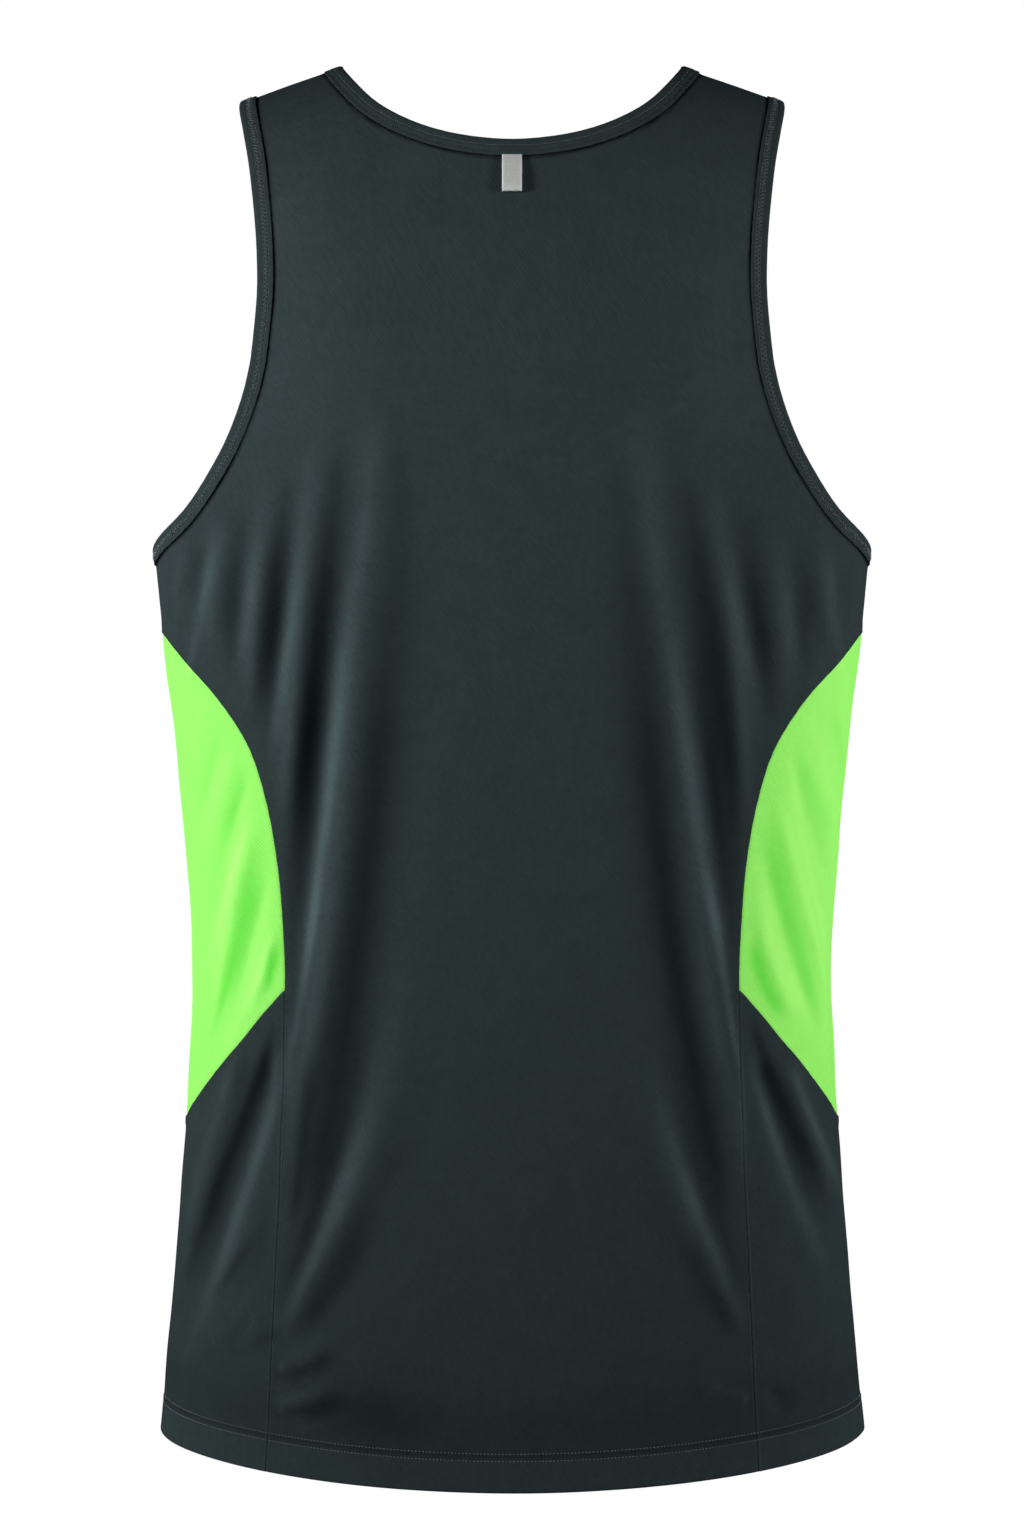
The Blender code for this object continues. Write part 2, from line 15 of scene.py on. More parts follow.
import bpy
import numpy as np
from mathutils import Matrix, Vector


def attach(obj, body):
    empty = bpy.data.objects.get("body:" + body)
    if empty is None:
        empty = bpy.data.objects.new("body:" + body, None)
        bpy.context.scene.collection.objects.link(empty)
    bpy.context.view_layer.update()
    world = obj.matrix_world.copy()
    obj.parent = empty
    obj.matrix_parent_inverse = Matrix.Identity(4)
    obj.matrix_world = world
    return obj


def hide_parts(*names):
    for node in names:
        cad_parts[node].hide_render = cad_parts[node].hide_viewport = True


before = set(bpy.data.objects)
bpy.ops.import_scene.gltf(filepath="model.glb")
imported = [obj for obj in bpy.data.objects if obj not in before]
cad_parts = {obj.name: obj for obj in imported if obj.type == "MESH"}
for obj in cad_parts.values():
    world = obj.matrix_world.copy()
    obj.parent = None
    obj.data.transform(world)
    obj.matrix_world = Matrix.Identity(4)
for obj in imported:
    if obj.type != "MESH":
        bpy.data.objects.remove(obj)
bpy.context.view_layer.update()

bl_info = {
    "name": "Athletic Singlet",
    "version": (1, 0, 0),
    "blender": (4, 5, 0),
    "location": "View3D > Sidebar > Singlet",
    "description": "Makes the cloth, sewing and stage of an athletic singlet",
    "category": "Object",
}

MM = 0.001

# ---------------------------------------------------------------- the garment's own sizes

# Sections of the form: level, half width, depth behind and depth in front
SECTIONS = (
    (-712, 183.4, 117, 119), (-640, 177.0, 113, 116), (-570, 171.3, 108, 113),
    (-510, 167.2, 105, 111), (-460, 165.5, 104, 111), (-410, 168.0, 106, 113),
    (-350, 173.3, 110, 117), (-285, 181.0, 114, 121), (-240, 185.3, 116, 123),
    (-150, 189.0, 112, 121), (0, 189.0, 92, 116),
)
SECTION_SQUARENESS = 0.03
BACK_BEND_LEVEL = -150.0
FRONT_BEND_LEVEL = -240.0
RIDGE_HEIGHT = 45.0
RIDGE_SLOPE = 0.374
RIDGE_ROUNDING = 40.0

HEM_LEVEL = -697.2
HEM_DROP_BACK = 16.0
HEM_DROP_FRONT = 8.0
HEM_FOLD_RADIUS = 0.8

NECK_BINDING_WIDTH = 7.3
# Shares by which the neck strip is broader than its solid: behind, most at the middle, and in front
NECK_WIDER = 0.28
NECK_WIDER_SPAN = 160.0
NECK_WIDER_FRONT = 0.15
ARMHOLE_BINDING_WIDTH = 8.4

# Edges and seams of the left half, as rows of places
ARMHOLE_EDGE = (
    (43.5, 0), (43.8, -28), (45.1, -52), (47.1, -80), (48.8, -112), (48.6, -136), (45.5, -170),
    (39.5, -199), (29.5, -223), (15.0, -235.5), (0.0, -240), (-16.0, -235.5), (-32.0, -222),
    (-43.5, -199), (-50.0, -168), (-52.0, -130), (-50.0, -88), (-46.0, -44), (-43.5, 0),
)
NECK_EDGE_BACK = (
    (62.9, 0), (63.4, -22), (65.6, -43), (69.3, -60.9), (75.0, -74.5), (82.0, -83.1),
    (90.0, -86.4),
)
NECK_EDGE_FRONT = (
    (-62.9, 0), (-63.6, -40), (-66.2, -80), (-70.5, -116), (-77.0, -144), (-83.5, -158),
    (-90.0, -162),
)
INSERT_CORNER = (48.0, -466)
INSERT_TOP_SEAM = (
    INSERT_CORNER, (47.8, -436), (47.2, -404), (45.6, -373), (42.0, -343), (35.0, -320),
    (26.0, -304), (13.0, -289), (0.0, -284),
)
INSERT_LOWER_SEAM = (
    INSERT_CORNER, (43.0, -478), (36.0, -494), (27.0, -510.5), (17.0, -524.5), (8.0, -532.5),
    (0.0, -535),
)
PRINCESS_SEAM_AT_HEM = 49.2

# Folds: each runs from (girth_start, level_start) to (girth_end, level_end). Bow bends the run
# sideways, a negative height is a trough, and the fades are the shares of the run over which
# the fold grows at its start and dies at its end.
RING_HALF_WIDTH = 175.0
RING_HALF_DEPTH = 112.0
Fold = namedtuple(
    "Fold", "girth_start level_start girth_end level_end bow height width fade_in fade_out"
)
FOLDS = (
    # left back, from the armhole to the insert's seam
    (158, -237, 185, -273, 0, 1, 7, 0.5, 0.4),
    (146, -227, 167, -278, 0, -1.1, 7, 0.5, 0.4),
    (134, -218, 157, -306, 0, 1.4, 8, 0.5, 0.4),
    (120, -205, 144, -318, 0, -1.6, 7, 0.5, 0.4),
    (107, -190, 133, -334, 1, 1.9, 8, 0.62, 0.4),
    (95, -188, 127, -352, 2, -2.1, 7, 0.62, 0.4),
    (83, -176, 121, -398, 4, 2.6, 9, 0.62, 0.35),
    (69, -165, 120, -470, 3.5, -2.9, 9, 0.62, 0.35),
    (55, -150, 119, -575, 6, 2.8, 11, 0.62, 0.25),
    (30, -180, 108, -640, 8, -1, 14, 0.62, 0.3),
    (62, -430, 117, -640, 6, -2.2, 9, 0.62, 0.2),
    (50, -480, 116, -640, 6, 2.6, 11, 0.62, 0.15),
    (86, -648, 115, -657, 0, 0.9, 4, 0.4, 0.1),
    (81, -665, 114, -675, 0, 0.7, 4, 0.4, 0.1),
    # left side panel
    (126, -490, 182, -630, 5.5, -2.3, 9, 0.15, 0.45),
    (148, -494, 200, -620, 3, 1.9, 10, 0.15, 0.45),
    (131, -630, 147, -648, 0, -0.7, 5, 0.2, 0.4),
    (150, -560, 176, -660, 2, -0.8, 9, 0.4, 0.4),
    # left insert
    (142, -343, 173, -397, -0.5, 0.6, 5, 0.3, 0.4),
    (136, -357, 174, -424, -0.7, -0.8, 5, 0.3, 0.4),
    (133, -376, 177, -486, -1.6, 1.1, 5.5, 0.3, 0.3),
    (128, -403, 160, -482, 0, -1, 5, 0.3, 0.3),
    (125, -431, 145, -479, 1.2, 0.8, 4, 0.3, 0.3),
    # right back
    (-146, -240, -168, -298, 0, 1.3, 7, 0.5, 0.4),
    (-132, -228, -152, -318, 0, -1.3, 7, 0.5, 0.4),
    (-115, -212, -141, -330, 0, 1.4, 8, 0.62, 0.4),
    (-97, -196, -134, -344, -2.5, -2.2, 8, 0.62, 0.4),
    (-78, -174, -124, -392, -0.5, 2.4, 8, 0.62, 0.35),
    (-62, -166, -121, -468, -1, -2.8, 9, 0.62, 0.35),
    (-50, -160, -120, -572, -5.5, 2.6, 11, 0.62, 0.25),
    (-26, -190, -110, -640, -7, -0.9, 14, 0.62, 0.3),
    (-75, -466, -118, -638, -6, -2, 9, 0.62, 0.2),
    (-64, -500, -117, -640, -5.5, 2.2, 11, 0.62, 0.15),
    (-84, -662, -116, -671, 0, 0.8, 4, 0.4, 0.1),
    # right side panel
    (-130, -496, -170, -596, 0, -2.2, 9, 0.15, 0.45),
    (-150, -496, -193, -606, 0, 1.7, 10, 0.15, 0.45),
    (-126, -665, -140, -680, 0, -0.7, 5, 0.2, 0.4),
    # right insert
    (-145, -339, -208, -423, -8.6, -0.7, 5, 0.3, 0.4),
    (-136, -356, -204, -477, -7.6, 1, 5.5, 0.3, 0.3),
    (-129, -386, -187, -493, -4.2, -0.9, 5, 0.3, 0.3),
    (-129, -419, -165, -489, -3.9, 0.8, 4.5, 0.3, 0.3),
)
# Painted highlights and painted shade where the folds catch or lose the most light: rows as above,
# with the share by which the cloth's colour is painted lighter or darker in place of the height
GLEAMS = (
    # left back
    (56, -232, 110, -588, 8.5, -0.42, 9, 0.35, 0.12),
    (67, -212, 113, -476, 0.7, 0.55, 4.2, 0.5, 0.15),
    (98, -396, 119, -511, -0.8, 0.6, 3, 0.35, 0.3),
    (83, -211, 122, -436, 1.9, -0.6, 5.2, 0.5, 0.4),
    (93, -196, 128, -371, 2, 0.35, 4.5, 0.45, 0.3),
    (106, -221, 134, -341, 1.1, -0.38, 5, 0.45, 0.3),
    (118, -231, 140, -315, 0.1, 0.15, 4, 0.4, 0.35),
    (131, -230, 156, -310, 0.8, 0.05, 4.5, 0.4, 0.35),
    (143, -225, 185, -315, 6, 0.45, 4.5, 0.35, 0.3),
    (71, -565, 112, -643, 7.8, -0.3, 6, 0.4, 0.25),
    (84, -645, 111, -663, -1.7, -0.2, 4, 0.4, 0.2),
    (112, -40, 108, -270, 0, 0.24, 34, 0.3, 0.5),
    # left back, where the folds begin and low down
    (63, -164, 74, -279, 1, 0.26, 4.5, 0.35, 0.3),
    (89, -179, 102, -251, -0.4, 0.14, 4, 0.4, 0.5),
    (77, -179, 97, -311, 1.1, -0.3, 6, 0.35, 0.4),
    (103, -203, 119, -275, 1.1, -0.15, 4, 0.4, 0.4),
    (53, -169, 58, -316, 2.6, -0.17, 7, 0.3, 0.4),
    (105, -488, 113, -590, 1.2, -0.4, 4, 0.3, 0.2),
    (118, -474, 118, -531, -0.5, 0.3, 2.6, 0.3, 0.4),
    (77, -528, 111, -614, 0, 0.18, 4.5, 0.4, 0.15),
    (82, -573, 105, -624, 0.2, -0.16, 4, 0.4, 0.2),
    (82, -633, 120, -652, 0.9, 0.12, 4, 0.4, 0.15),
    (79, -644, 120, -660, 1.7, -0.28, 3.2, 0.5, 0.1),
    (79, -657, 119, -672, 1.9, 0.3, 3, 0.5, 0.1),
    (74, -664, 119, -677, 3.9, -0.25, 3, 0.5, 0.1),
    (71, -671, 110, -684, 3.4, 0.15, 2.5, 0.5, 0.2),
    (25, -677, 108, -670, 0, -0.25, 16, 0.5, 0.2),
    # left side panel
    (124, -476, 199, -643, 2.4, -0.55, 5.5, 0.15, 0.45),
    (121, -504, 188, -668, 6, 0.55, 5.5, 0.2, 0.4),
    (127, -567, 146, -623, 5.4, -0.15, 6, 0.3, 0.5),
    (130, -584, 168, -630, 2.3, -0.3, 3.5, 0.3, 0.4),
    (128, -607, 153, -646, 1.1, 0.1, 3.5, 0.4, 0.4),
    (113, -636, 140, -649, -0.4, -0.22, 4, 0.15, 0.5),
    # left insert
    (156, -328, 187, -381, 4.6, -0.15, 4, 0.3, 0.4),
    (138, -348, 162, -396, 1.1, -0.2, 4, 0.3, 0.4),
    (131, -386, 181, -499, 3, -0.42, 5, 0.35, 0.3),
    (126, -439, 134, -470, 0, -0.5, 3.5, 0.4, 0.3),
    (165, -315, 185, -351, 0, 0.1, 4, 0.3, 0.4),
    (147, -338, 189, -399, -1, 0.12, 4, 0.3, 0.4),
    (134, -366, 190, -468, 2.5, 0.25, 3.5, 0.3, 0.35),
    (126, -429, 175, -508, 5.3, 0.15, 4, 0.3, 0.3),
    (169, -269, 214, -516, 0, -0.04, 42, 0.15, 0.2),
    # right back
    (-56, -232, -113, -591, -6.2, -0.45, 9, 0.35, 0.12),
    (-59, -212, -115, -471, -1.7, 0.35, 4.2, 0.5, 0.15),
    (-99, -396, -121, -511, 2, 0.8, 2.8, 0.3, 0.2),
    (-76, -207, -121, -436, 7.2, -0.45, 5.5, 0.45, 0.35),
    (-91, -206, -130, -366, 3.5, 0.08, 4.5, 0.45, 0.3),
    (-112, -241, -136, -330, 3, 0.06, 4.5, 0.4, 0.3),
    (-156, -229, -188, -310, -4.4, 0.3, 4, 0.4, 0.3),
    (-90, -575, -112, -641, -2.3, -0.25, 6, 0.4, 0.25),
    (-85, -545, -115, -622, -1.2, 0.2, 5, 0.4, 0.12),
    (-112, -40, -108, -270, 0, 0.2, 34, 0.3, 0.5),
    # right back, where the folds begin and low down
    (-57, -167, -72, -281, -0.1, 0.22, 6.5, 0.35, 0.3),
    (-73, -187, -95, -283, 1.5, -0.16, 5, 0.4, 0.4),
    (-46, -187, -63, -321, -0.1, -0.15, 7, 0.35, 0.4),
    (-121, -479, -119, -564, 1.3, 0.4, 2.8, 0.3, 0.4),
    (-72, -495, -115, -616, -5.1, 0.28, 5, 0.4, 0.1),
    (-108, -491, -113, -536, -0.3, -0.1, 4, 0.4, 0.4),
    # right side panel
    (-127, -476, -195, -592, -5.6, -0.48, 5.5, 0.15, 0.45),
    (-129, -507, -184, -626, -3.1, 0.5, 5.5, 0.2, 0.4),
    (-145, -495, -222, -584, -6.3, 0.5, 5, 0.2, 0.4),
    # right insert
    (-173, -320, -214, -366, 0, -0.12, 5, 0.3, 0.4),
    (-148, -338, -199, -399, -3.9, -0.18, 5, 0.3, 0.4),
    (-130, -371, -193, -492, -4.2, -0.32, 6, 0.3, 0.3),
    (-129, -436, -154, -484, -4.6, -0.5, 4.5, 0.3, 0.3),
    (-152, -320, -193, -379, 0, 0.08, 4, 0.3, 0.4),
    (-142, -340, -209, -459, -8.3, 0.16, 3.5, 0.3, 0.35),
    (-131, -406, -182, -494, -6.6, 0.18, 4, 0.3, 0.35),
    (-170, -269, -222, -516, 0, 0.08, 42, 0.15, 0.2),
)
# How much narrower a fold is at its tight end, where it fades soonest
FOLD_TAPER = 0.9
# How strongly the folds' slopes are painted into the cloth's colour as light and shade, how softly
# that turns over at the middle, and how much painted light each millimetre of height adds
FOLD_SHADE = 1.2
SHADE_MIDDLE = 25.0
SHADE_BY_HEIGHT = 0.04

# Gentle unevenness of the whole cloth, as waves with these lengths and heights
SWELL_LENGTHS = (34.0, 47.0, 58.0, 71.0, 93.0, 120.0)
SWELL_HEIGHT = 0.12
SWELL_SEED = 11

# How finely the pieces are made
LINE_SAMPLES = 40
LINE_SPACING = 1.0
LONG_SAMPLES = 400
SIDEWAYS_WEIGHT = 1.4
EDGE_STEPS = (0.0, 0.45, 0.95, 1.6, 2.5, 3.7, 5.2)
BACK_COLUMNS = 176
FRONT_COLUMNS = 132
INSERT_COLUMNS = 120
INSERT_ROWS = 112
BODY_ROWS = 232
SIDE_PANEL_COLUMNS = 104
SIDE_PANEL_ROWS = 78
INSERT_SIDE_LENGTH = 128.0
COARSE_ROWS = 121
COARSE_COLUMNS = 49
RELAX_ROUNDS = 25
HEM_STEPS = (
    0.8, 1.6, 3.4, 6.0, 9.0, 12.0, 14.2, 14.9, 15.4, 15.9, 16.8, 17.8, 18.5, 19.0, 19.5, 20.2,
    21.4, 23.5,
)
HEM_TURN_STEPS = 5
HEM_PATTERN_STEP = 3.0
HEM_INNER_STEPS = (19.0, 16.0, 13.0, 10.0, 7.0, 4.0)
HEM_STITCH_ROWS = (19.0, 15.4)

SLOPE_STEP = 0.25
SEARCH_STEP = 0.01
SEARCH_ROUNDS = 12
CHUNK = 6000


# ---------------------------------------------------------------- the form and its lines


def curve_through(at, stops, values):
    """A smooth curve through values at the stops, read at the places in at.

    Between two stops it is the cubic with the values and the mean slopes at both.
    """
    stops = np.asarray(stops, float)
    values = np.asarray(values, float)
    slopes = np.gradient(values, stops)
    at = np.clip(at, stops[0], stops[-1])
    index = np.clip(np.searchsorted(stops, at) - 1, 0, len(stops) - 2)
    step = stops[index + 1] - stops[index]
    t = (at - stops[index]) / step
    return (
        values[index] * (1 + 2 * t) * (1 - t) ** 2
        + values[index + 1] * t * t * (3 - 2 * t)
        + slopes[index] * step * t * (1 - t) ** 2
        - slopes[index + 1] * step * t * t * (1 - t)
    )


def form(around, level):
    """Places on the form: near-ellipses that bend over the shoulders on a quarter arc.

    x is half the width times cos(around), y is the depth times sin(around) times the cosine of
    the bend, both swollen a little between the axes, and z is the level below the bend and
    rises with the bend's sine to the sloping ridge above it.
    """
    turn = np.radians(around)
    levels, *sizes = zip(*SECTIONS)
    half_width, back_depth, front_depth = (curve_through(level, levels, size) for size in sizes)
    swell = 1 + SECTION_SQUARENESS * np.sin(2 * turn) ** 2
    behind = np.sin(turn) >= 0
    bend_level = np.where(behind, BACK_BEND_LEVEL, FRONT_BEND_LEVEL)
    bend = np.clip(1 - level / bend_level, 0, 1) * np.pi / 2
    x = half_width * np.cos(turn) * swell
    y = np.where(behind, back_depth, front_depth) * np.sin(turn) * swell * np.cos(bend)
    ridge = RIDGE_HEIGHT - RIDGE_SLOPE * np.hypot(x, RIDGE_ROUNDING)
    bent = bend_level + (ridge - bend_level) * np.sin(bend)
    return np.stack([x, y, np.where(level > bend_level, bent, level)], axis=-1)


def unit(vectors):
    return vectors / np.linalg.norm(vectors, axis=-1, keepdims=True)


def outward(around, level):
    """The form's outward directions: the cross product of two short steps along it."""
    here = form(around, level)
    across = form(around + SLOPE_STEP, level) - form(around - SLOPE_STEP, level)
    return unit(np.cross(across, here - form(around, level - SLOPE_STEP)))


RING_ANGLES = np.arange(-180.0, 271.0, 0.5)


def girth_table():
    """Length round the measuring ring, an ellipse, from the centre back to each ring angle."""
    turn = np.radians(RING_ANGLES)
    ring = np.stack([RING_HALF_WIDTH * np.cos(turn), RING_HALF_DEPTH * np.sin(turn)], axis=-1)
    along = np.concatenate([[0.0], np.cumsum(np.linalg.norm(np.diff(ring, axis=0), axis=1))])
    return np.interp(90.0, RING_ANGLES, along) - along


GIRTHS = girth_table()


def girth_of(around):
    return np.interp(around, RING_ANGLES, GIRTHS)


def around_of(girth):
    return np.interp(girth, GIRTHS[::-1], RING_ANGLES[::-1])


def smoothstep(low, high, value):
    t = np.clip((value - low) / (high - low), 0, 1)
    return t * t * (3 - 2 * t)


def bump(value, width):
    """A soft bell of height 1 at value 0."""
    return np.exp(-((value / width) ** 2))


def with_front(rows):
    """The back's folds, and the same ones moved half way round to the front's other side."""
    folds = [Fold(*row) for row in rows]
    moved = []
    for fold in folds:
        move = -np.sign(fold.girth_start) * 2 * girth_of(0.0)
        moved.append(
            fold._replace(girth_start=fold.girth_start + move, girth_end=fold.girth_end + move)
        )
    return folds + moved


ALL_FOLDS, ALL_GLEAMS = with_front(FOLDS), with_front(GLEAMS)


def fold_bell(fold, girth, level):
    """A bell across the fold's bowed run.

    It fades in and out along the run, and is narrower towards the end where it fades sooner.
    """
    run = np.array([fold.girth_end - fold.girth_start, fold.level_end - fold.level_start])
    length = np.hypot(*run)
    over, up = girth - fold.girth_start, level - fold.level_start
    along = (over * run[0] + up * run[1]) / length**2
    aside = (over * run[1] - up * run[0]) / length - 4 * fold.bow * along * (1 - along)
    fade = smoothstep(0, fold.fade_in, along) * smoothstep(0, fold.fade_out, 1 - along)
    tight = np.sign(fold.fade_in - fold.fade_out)
    width = fold.width * (1 + FOLD_TAPER * tight * (0.5 - np.clip(along, 0, 1)))
    return fade * bump(aside, width)


def ring_place(around):
    """Girth of an angle, with the right front carried on from the right side."""
    return girth_of(np.where(around < -90, around + 360, around))


def fold_height(around, level):
    """Height of the folds: the sum of their bells."""
    girth = ring_place(around)
    height = np.zeros(np.broadcast(around, level).shape)
    for fold in ALL_FOLDS:
        height += fold.height * fold_bell(fold, girth, level)
    return height


def fold_light(around, level):
    """How much painted light or shade the folds give the cloth's colour, as a share of it."""
    girth = ring_place(around)
    light = 1 + FOLD_SHADE * fold_shade(around, level)
    for gleam in ALL_GLEAMS:
        light = light * (1 + gleam.height * fold_bell(gleam, girth, level))
    return light - 1


def fold_shade(around, level):
    """How much painted light or shade the folds get: their slope away from the garment's middle
    plane.

    It is the change of the fold height round the girth, times how fast that way leads sideways,
    and is turned over on the right side. Crests get a little painted light and troughs a little
    painted shade.
    """
    step = 1.0
    girth = ring_place(around)
    before, after = around_of(girth - step / 2), around_of(girth + step / 2)
    slope = (fold_height(after, level) - fold_height(before, level)) / step
    sideways = form(after, level)[..., 0] - form(before, level)[..., 0]
    x = form(around, level)[..., 0]
    leaning = -slope * sideways / step * x / np.hypot(x, SHADE_MIDDLE)
    return leaning + SHADE_BY_HEIGHT * fold_height(around, level)


def swell_height(points):
    """Small unevenness: a sum of long waves that run through space in seeded directions."""
    draws = np.random.default_rng(SWELL_SEED)
    height = 0.0
    for length in SWELL_LENGTHS:
        direction, phase = unit(draws.normal(size=3)), draws.uniform(0, 2 * np.pi)
        height = height + np.sin(2 * np.pi * (points @ direction) / length + phase)
    return SWELL_HEIGHT * height


def smooth_line(rows, samples=LINE_SAMPLES):
    """A closely stepped smooth line through a table's rows."""
    rows = np.array(rows, float)
    stops = np.arange(len(rows))
    fine = np.linspace(0, stops[-1], samples * stops[-1] + 1)
    return np.stack([curve_through(fine, stops, column) for column in rows.T], -1)


def half_line(rows):
    """A smooth line that ends level on the middle, where its mirror image carries it on."""
    (before, level), (middle, _) = rows[-2:]
    return smooth_line((*rows, (2 * middle - before, level)))[:-LINE_SAMPLES]


def run_length(points):
    """Distance along a line of points to each of them."""
    return np.concatenate([[0.0], np.cumsum(np.linalg.norm(np.diff(points, axis=0), axis=1))])


def read_rows(wanted, along, rows):
    """Rows that stand at the distances along, read between them at the wanted distances."""
    return np.stack([np.interp(wanted, along, column) for column in rows.T], -1)


def even_line(line, count):
    """count + 1 places along a line, evenly spaced in real length."""
    along = run_length(form(*line.T))
    return read_rows(np.linspace(0, along[-1], count + 1), along, line)


def spaced_line(line):
    return even_line(line, int(np.ceil(run_length(form(*line.T))[-1] / LINE_SPACING)))


def moved_on_form(line, direction, distance):
    """The line's places moved a distance along the form, by least squares from their place."""
    target = form(*line.T) + direction * distance
    place = line.copy()
    for _ in range(SEARCH_ROUNDS):
        here = form(*place.T)
        by_around = (form(place[:, 0] + SEARCH_STEP, place[:, 1]) - here) / SEARCH_STEP
        by_level = (here - form(place[:, 0], place[:, 1] - SEARCH_STEP)) / SEARCH_STEP
        slopes = np.linalg.pinv(np.stack([by_around, by_level], axis=-1))
        place += (slopes @ (target - here)[..., None])[..., 0]
        place[:, 1] = np.minimum(place[:, 1], 0)
    return place


def moved_inside(loop, distance):
    """A closed edge moved along the form into the cloth, square to its own run."""
    places = form(*loop.T)
    run = np.roll(places, -1, axis=0) - np.roll(places, 1, axis=0)
    return moved_on_form(loop, unit(np.cross(outward(*loop.T), run)), distance)


def moved_aside(line, distance):
    """An open line moved sideways on the form; positive is to the left of its own run."""
    places = form(*line.T)
    run = np.gradient(places, axis=0)
    return moved_on_form(line, unit(np.cross(outward(*line.T), run)), distance)


def to_front(line):
    return line * (-1, 1)


def to_right(line):
    return line * (-1, 1) + (180, 0)


def to_right_front(line):
    return line * (-1, 1) - (180, 0)


# What carries a left line to the right side: behind (1) and in front (-1)
OTHER_SIDE = {1: to_right, -1: to_right_front}
# Each side's name, the way its girths count, and what carries a left line there
SIDES = (("left", 1, np.array), ("right", -1, to_right))


def hem_level(around):
    lift = np.sin(np.radians(around))
    return HEM_LEVEL - np.where(lift > 0, HEM_DROP_BACK, HEM_DROP_FRONT) * lift**2


class Lines:
    """Seams and edges of the left half as close rows of places, shared by the pieces there.

    A dictionary holds the line behind under 1 and the one in front under -1.
    """

    def __init__(self):
        edge = smooth_line(ARMHOLE_EDGE)
        side = np.abs(edge[:, 0]).argmin()
        back, front = spaced_line(edge[: side + 1]), spaced_line(edge[side:])
        low = len(back) - 1
        self.arm_edge = np.concatenate([back, front[1:-1]])
        self.arm_seam = moved_inside(self.arm_edge, ARMHOLE_BINDING_WIDTH)
        self.arm_seam[0, 1] = 0
        in_front = np.concatenate([self.arm_seam[low:], to_front(self.arm_seam[:1])])
        self.arm = {1: self.arm_seam[low::-1], -1: in_front}
        back = spaced_line(half_line(NECK_EDGE_BACK))[::-1]
        front = spaced_line(half_line(NECK_EDGE_FRONT))
        self.neck_edge = np.concatenate(
            [back, front[1:], to_right_front(front)[-2:0:-1], to_right(back)[:0:-1]]
        )
        x, y, _ = form(*self.neck_edge.T).T
        wider = np.where(y > 0, NECK_WIDER * bump(x, NECK_WIDER_SPAN), NECK_WIDER_FRONT)
        self.neck_lip = moved_inside(self.neck_edge, NECK_BINDING_WIDTH * (1 + wider[:, None]))
        seam_line = moved_inside(self.neck_edge, NECK_BINDING_WIDTH)
        ridge, middle = len(back) - 1, len(back) + len(front) - 2
        in_front = [to_front(seam_line[ridge : ridge + 1]), seam_line[ridge + 1 : middle + 1]]
        self.neck = {1: seam_line[ridge::-1], -1: np.concatenate(in_front)}
        self.lip = {1: self.neck_lip[ridge::-1], -1: self.neck_lip[ridge + 1 : middle + 1]}
        self.shoulder = spaced_line(np.array([self.arm[1][-1], self.neck[1][0]]))
        self.insert_top = spaced_line(smooth_line(INSERT_TOP_SEAM))
        self.insert_lower = spaced_line(smooth_line(INSERT_LOWER_SEAM))
        self.side_seam = spaced_line(np.array([self.insert_top[-1], self.arm[1][0]]))
        self.princess = {turned: self.princess_seam(turned) for turned in (1, -1)}

    @staticmethod
    def princess_seam(turned):
        """The straight seam from the hem up to the insert's corner."""
        around, level = INSERT_CORNER
        foot = turned * PRINCESS_SEAM_AT_HEM
        return spaced_line(np.array([(foot, hem_level(foot)), (turned * around, level)], float))


# ---------------------------------------------------------------- relief of the sewn cloth

# One seam as its piece's cloth sees it: the line's points on the form, how deep the cloth dips
# into it, how high the seam allowance lifts the cloth beside it, how much it puckers, and how
# much painted shadow (shade) and painted highlight (glint) the cloth's colour gets close beside it
Seam = namedtuple("Seam", "points groove allowance pucker shade glint")
GROOVE_WIDTH = 0.6
SHADE_FROM = 1.4
SHADE_WIDTH = 1.0
GLINT_AT, GLINT_WIDTH = 0.9, 0.45
ALLOWANCE_RISE, ALLOWANCE_FALL = (0.4, 1.0), (4.5, 6.0)
LINE_REACH = 0.6
PUCKER_REACH = 5.0
PUCKER_LENGTHS = (6.3, 8.1, 11.7)


def seam(line, groove=0.4, allowance=0.0, pucker=0.12, shade=0.0, glint=0.0):
    return Seam(form(*line.T), groove, allowance, pucker, shade, glint)


def nearest_on(points, line):
    """Distance from each point to a line of points, and how far along the line it is.

    The nearest point of the line is found from squared distances, in chunks, and the distance
    is then measured to the short straight piece of line through it.
    """
    index = np.empty(len(points), int)
    sums = (line**2).sum(axis=1)
    for start in range(0, len(points), CHUNK):
        some = points[start : start + CHUNK]
        index[start : start + CHUNK] = (sums - 2 * some @ line.T).argmin(axis=1)
    direction = unit(np.gradient(line, axis=0))[index]
    offset = points - line[index]
    along = np.clip((offset * direction).sum(axis=1), -LINE_REACH, LINE_REACH)
    aside = np.linalg.norm(offset - along[:, None] * direction, axis=1)
    return aside, run_length(line)[index] + along


def pucker_wave(along):
    """An uneven wave along a seam, from three plain waves."""
    return sum(np.sin(2 * np.pi * along / length + length) for length in PUCKER_LENGTHS) / 2


def seam_relief(points, seams):
    """Height that the seams give the cloth: a groove, a lifted allowance and small puckers.

    The tone is painted light and shade: a painted shadow on the cloth close beside an overlying
    binding's lip, and a painted highlight where a seam's folded edge stands up.
    """
    height, tone = np.zeros(len(points)), np.zeros(len(points))
    for one in seams:
        aside, along = nearest_on(points, one.points)
        height -= one.groove * bump(aside, GROOVE_WIDTH)
        lift = smoothstep(*ALLOWANCE_RISE, aside) * (1 - smoothstep(*ALLOWANCE_FALL, aside))
        height += one.allowance * lift
        height += one.pucker * pucker_wave(along) * np.exp(-aside / PUCKER_REACH)
        tone -= one.shade * bump(np.maximum(aside - SHADE_FROM, 0), SHADE_WIDTH)
        tone += one.glint * bump(aside - GLINT_AT, GLINT_WIDTH)
    return height, tone


